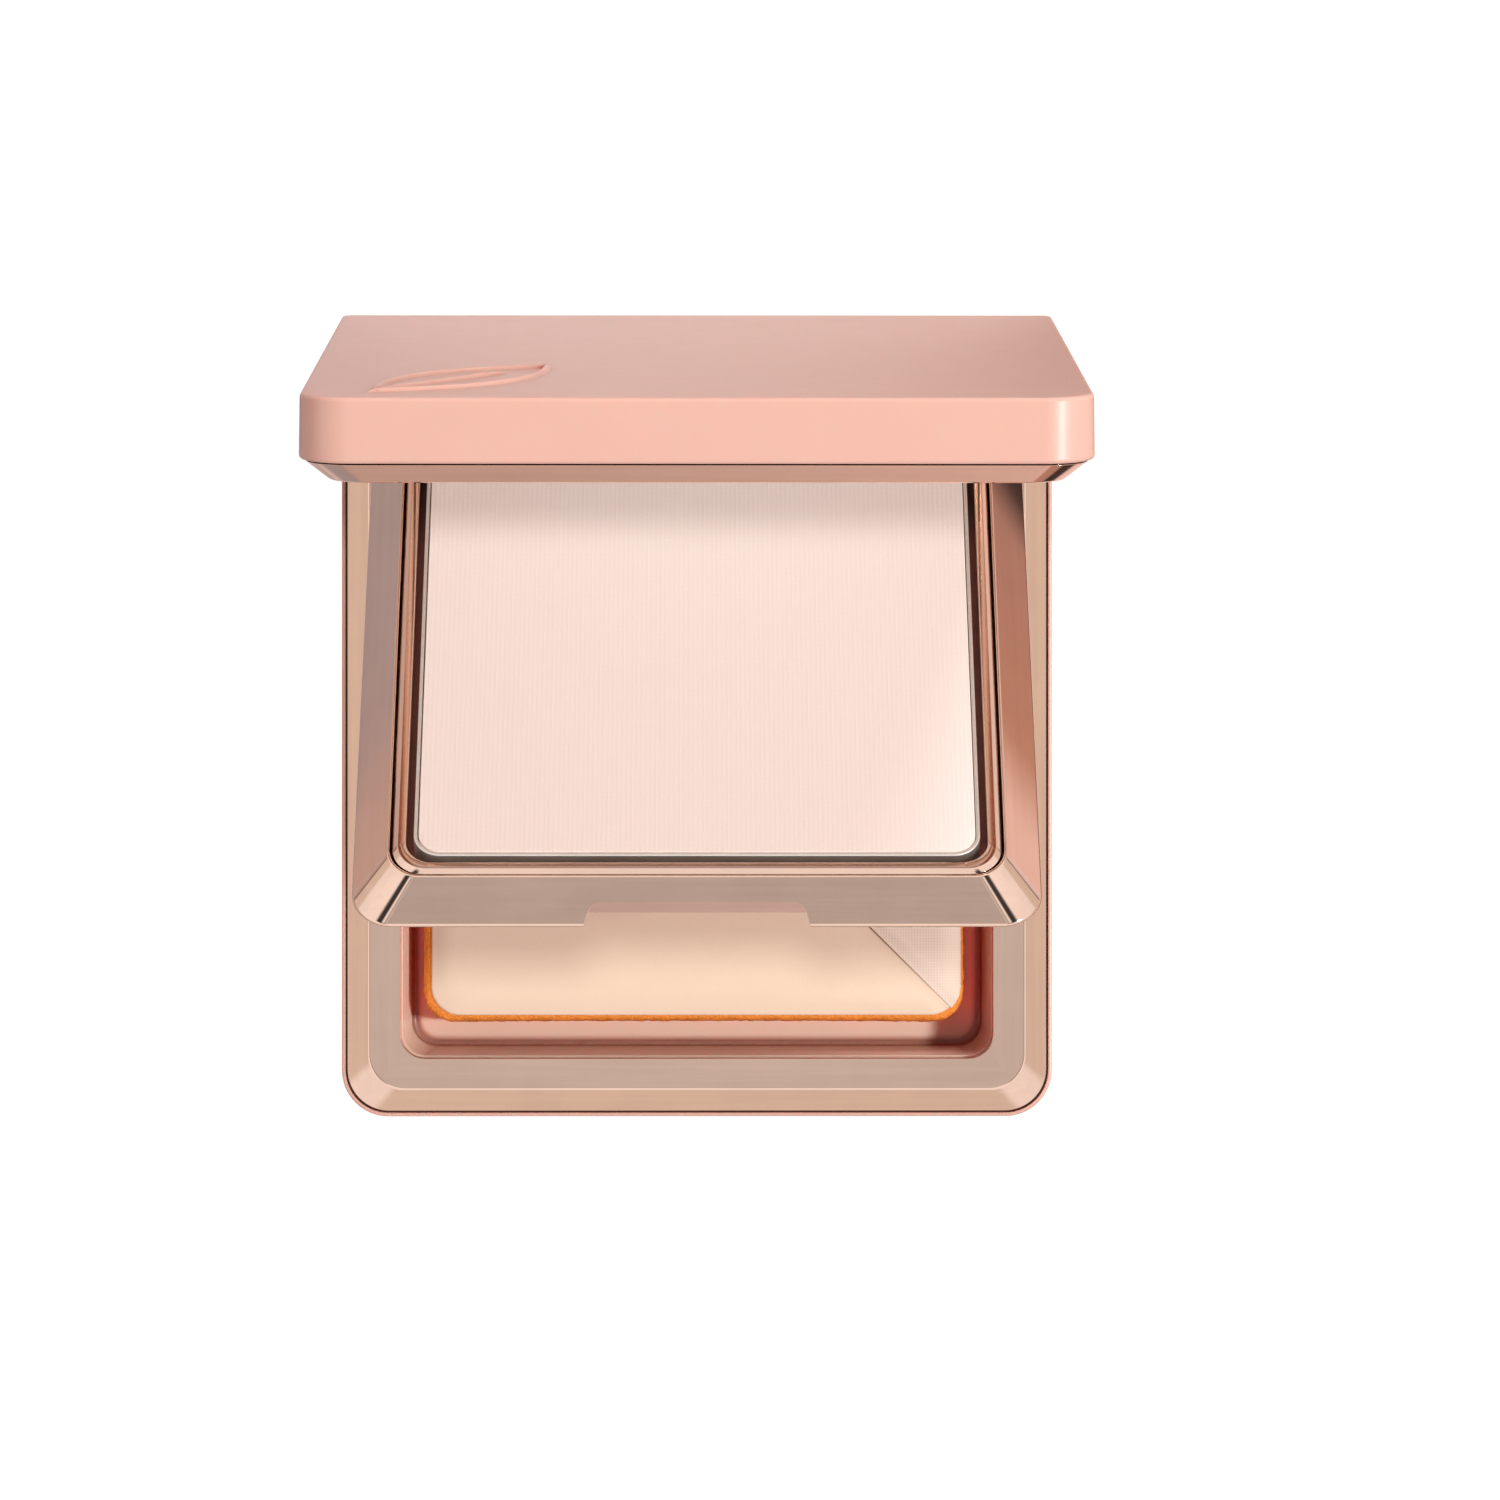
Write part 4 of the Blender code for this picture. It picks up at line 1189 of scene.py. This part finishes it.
def make_world():
    """A studio tent: pale lower walls, bright upper walls, a dimmer top and dark gaps at both sides."""
    world = bpy.data.worlds.new("studio")
    world.use_nodes = True
    bpy.context.scene.world = world
    nodes = Nodes(world.node_tree)
    way = nodes.add("ShaderNodeTexCoord").outputs["Generated"]
    height = nodes.vector_math("DOT_PRODUCT", way, (0.0, 0.0, 1.0))
    tent = nodes.ramp(height, [(position, (bright, bright * (1.0 - warmth / 2), bright * (1.0 - warmth)))
                               for position, bright, warmth in TENT])
    gaps = nodes.ramp(height, [(position, (1.0 - taken,) * 3) for position, taken in GAPS])
    level = nodes.vector_math("NORMALIZE", nodes.vector_math("MULTIPLY", way, (1.0, 1.0, 0.0)))
    sideways = nodes.vector_math("LENGTH", nodes.vector_math("MULTIPLY", level, (1.0, 0.0, 0.0)))
    gapped = nodes.mix(nodes.smooth_range(sideways, 0.45, 0.65), WHITE, gaps)
    rays = nodes.add("ShaderNodeLightPath").outputs
    matt = nodes.mix(rays["Is Diffuse Ray"], WHITE, AMBIENT)
    light = nodes.vector_math("MULTIPLY", nodes.vector_math("MULTIPLY", tent, gapped), matt)
    seen = nodes.mix(rays["Is Camera Ray"], light, WHITE)
    nodes.feed(nodes.tree.nodes["Background"].inputs["Color"], seen)


def add_softbox(name, direction, size, watts, colour=WHITE, in_reflections=False):
    """A round light aimed at the case from a direction. Its size is in metres."""
    light = bpy.data.lights.new(name, "AREA")
    light.shape = "DISK"
    light.size = size
    light.energy = watts
    light.color = colour
    lamp = bpy.data.objects.new(name, light)
    bpy.context.scene.collection.objects.link(lamp)
    target = Vector((0.0, 0.0, 0.02))
    lamp.location = target + Vector(direction).normalized() * SOFTBOX_DISTANCE
    lamp.rotation_euler = (lamp.location - target).to_track_quat("Z", "Y").to_euler()
    lamp.visible_glossy = in_reflections
    return lamp


def link_light(lamp, things, state):
    """Lets a light fall on these pieces only (INCLUDE), or on all but these (EXCLUDE)."""
    chosen = bpy.data.collections.new(lamp.name + "_pieces")
    for thing in things:
        chosen.objects.link(thing)
    for linked in chosen.collection_objects:
        linked.light_linking.link_state = state
    lamp.light_linking.receiver_collection = chosen


def make_lights(bezel, well, puff):
    """Some lights fall on single pieces only, as a studio's cards and flags would make them."""
    overhead = add_softbox("overhead", (0.0, 0.065, 1.0), 0.075, 3.0)
    link_light(overhead, [well, *puff], "EXCLUDE")
    link_light(add_softbox("over_puff", (0.0, 0.10, 1.0), 0.10, 3.1), puff, "INCLUDE")
    right_side = add_softbox("right_side", FROM_RIGHT, 0.12, 4.4, in_reflections=True)
    link_light(right_side, [bezel], "EXCLUDE")
    link_light(add_softbox("well_side", FROM_RIGHT, 0.12, 4.7, (0.66, 1.0, 0.93)), [well], "INCLUDE")
    link_light(add_softbox("well_glow", (0.0, -0.5, 1.0), 0.40, 3.0, (1.0, 0.04, 0.02)), [well], "INCLUDE")
    add_softbox("behind", (0.35, 0.90, 0.30), 0.30, 2.9)


def make_camera():
    camera = bpy.data.cameras.new("camera")
    camera.lens = CAMERA_LENS
    camera.sensor_width = 36.0
    eye = bpy.data.objects.new("camera", camera)
    bpy.context.scene.collection.objects.link(eye)
    eye.location = Vector((0.0, CAMERA_Y, RIM_Z + CAMERA_HEIGHT)) * MM
    eye.rotation_euler = (0.0, -CAMERA_TIP, 0.0)
    bpy.context.scene.camera = eye


def build():
    plastic = satin_plastic("peach_plastic", CREASE_SHADE_TINTS)
    gold = rose_gold("rose_gold", GOLD_SHADE_TINTS)
    # a copy of the gold with near-black painted shade in its creases, for the slot round the pan
    tray_gold = rose_gold("rose_gold_tray", TRAY_GOLD_SHADE_TINTS)
    steel = metal("steel", STEEL, roughness=0.30, grain=0.35)
    velour = cover_cloth()
    make_base_shell(plastic)
    make_base_label(label_paper())
    bezel = make_base_bezel(gold)
    # the well's plastic is a copy with its own deeper painted shade at the foot of its walls
    well = make_puff_well(satin_plastic("peach_plastic_well", WELL_SHADE_TINTS, own_only=True))
    make_hinge_pin(steel)
    foam_pad = make_puff_foam(orange_foam())
    puff = [foam_pad, *make_puff_cloths(foam_pad, velour, woven_cloth()), make_velour_face(velour)]
    make_tray_bezel(tray_gold)
    make_tray_pan_ring(tray_gold)
    make_powder_pan(metal("pan_aluminium", ALUMINIUM, roughness=0.48, grain=0.5))
    make_powder_cake(pressed_powder())
    make_tray_frame(plastic)
    make_leaf(plastic, make_lid_shell(plastic))
    make_lid_bezel(gold)
    make_mirror(silvered_glass())
    finish_hidden_pieces(steel, glue_pad())
    make_floor()
    make_world()
    make_lights(bezel, well, puff)
    make_camera()
    bpy.context.scene.view_settings.view_transform = "Standard"


build()
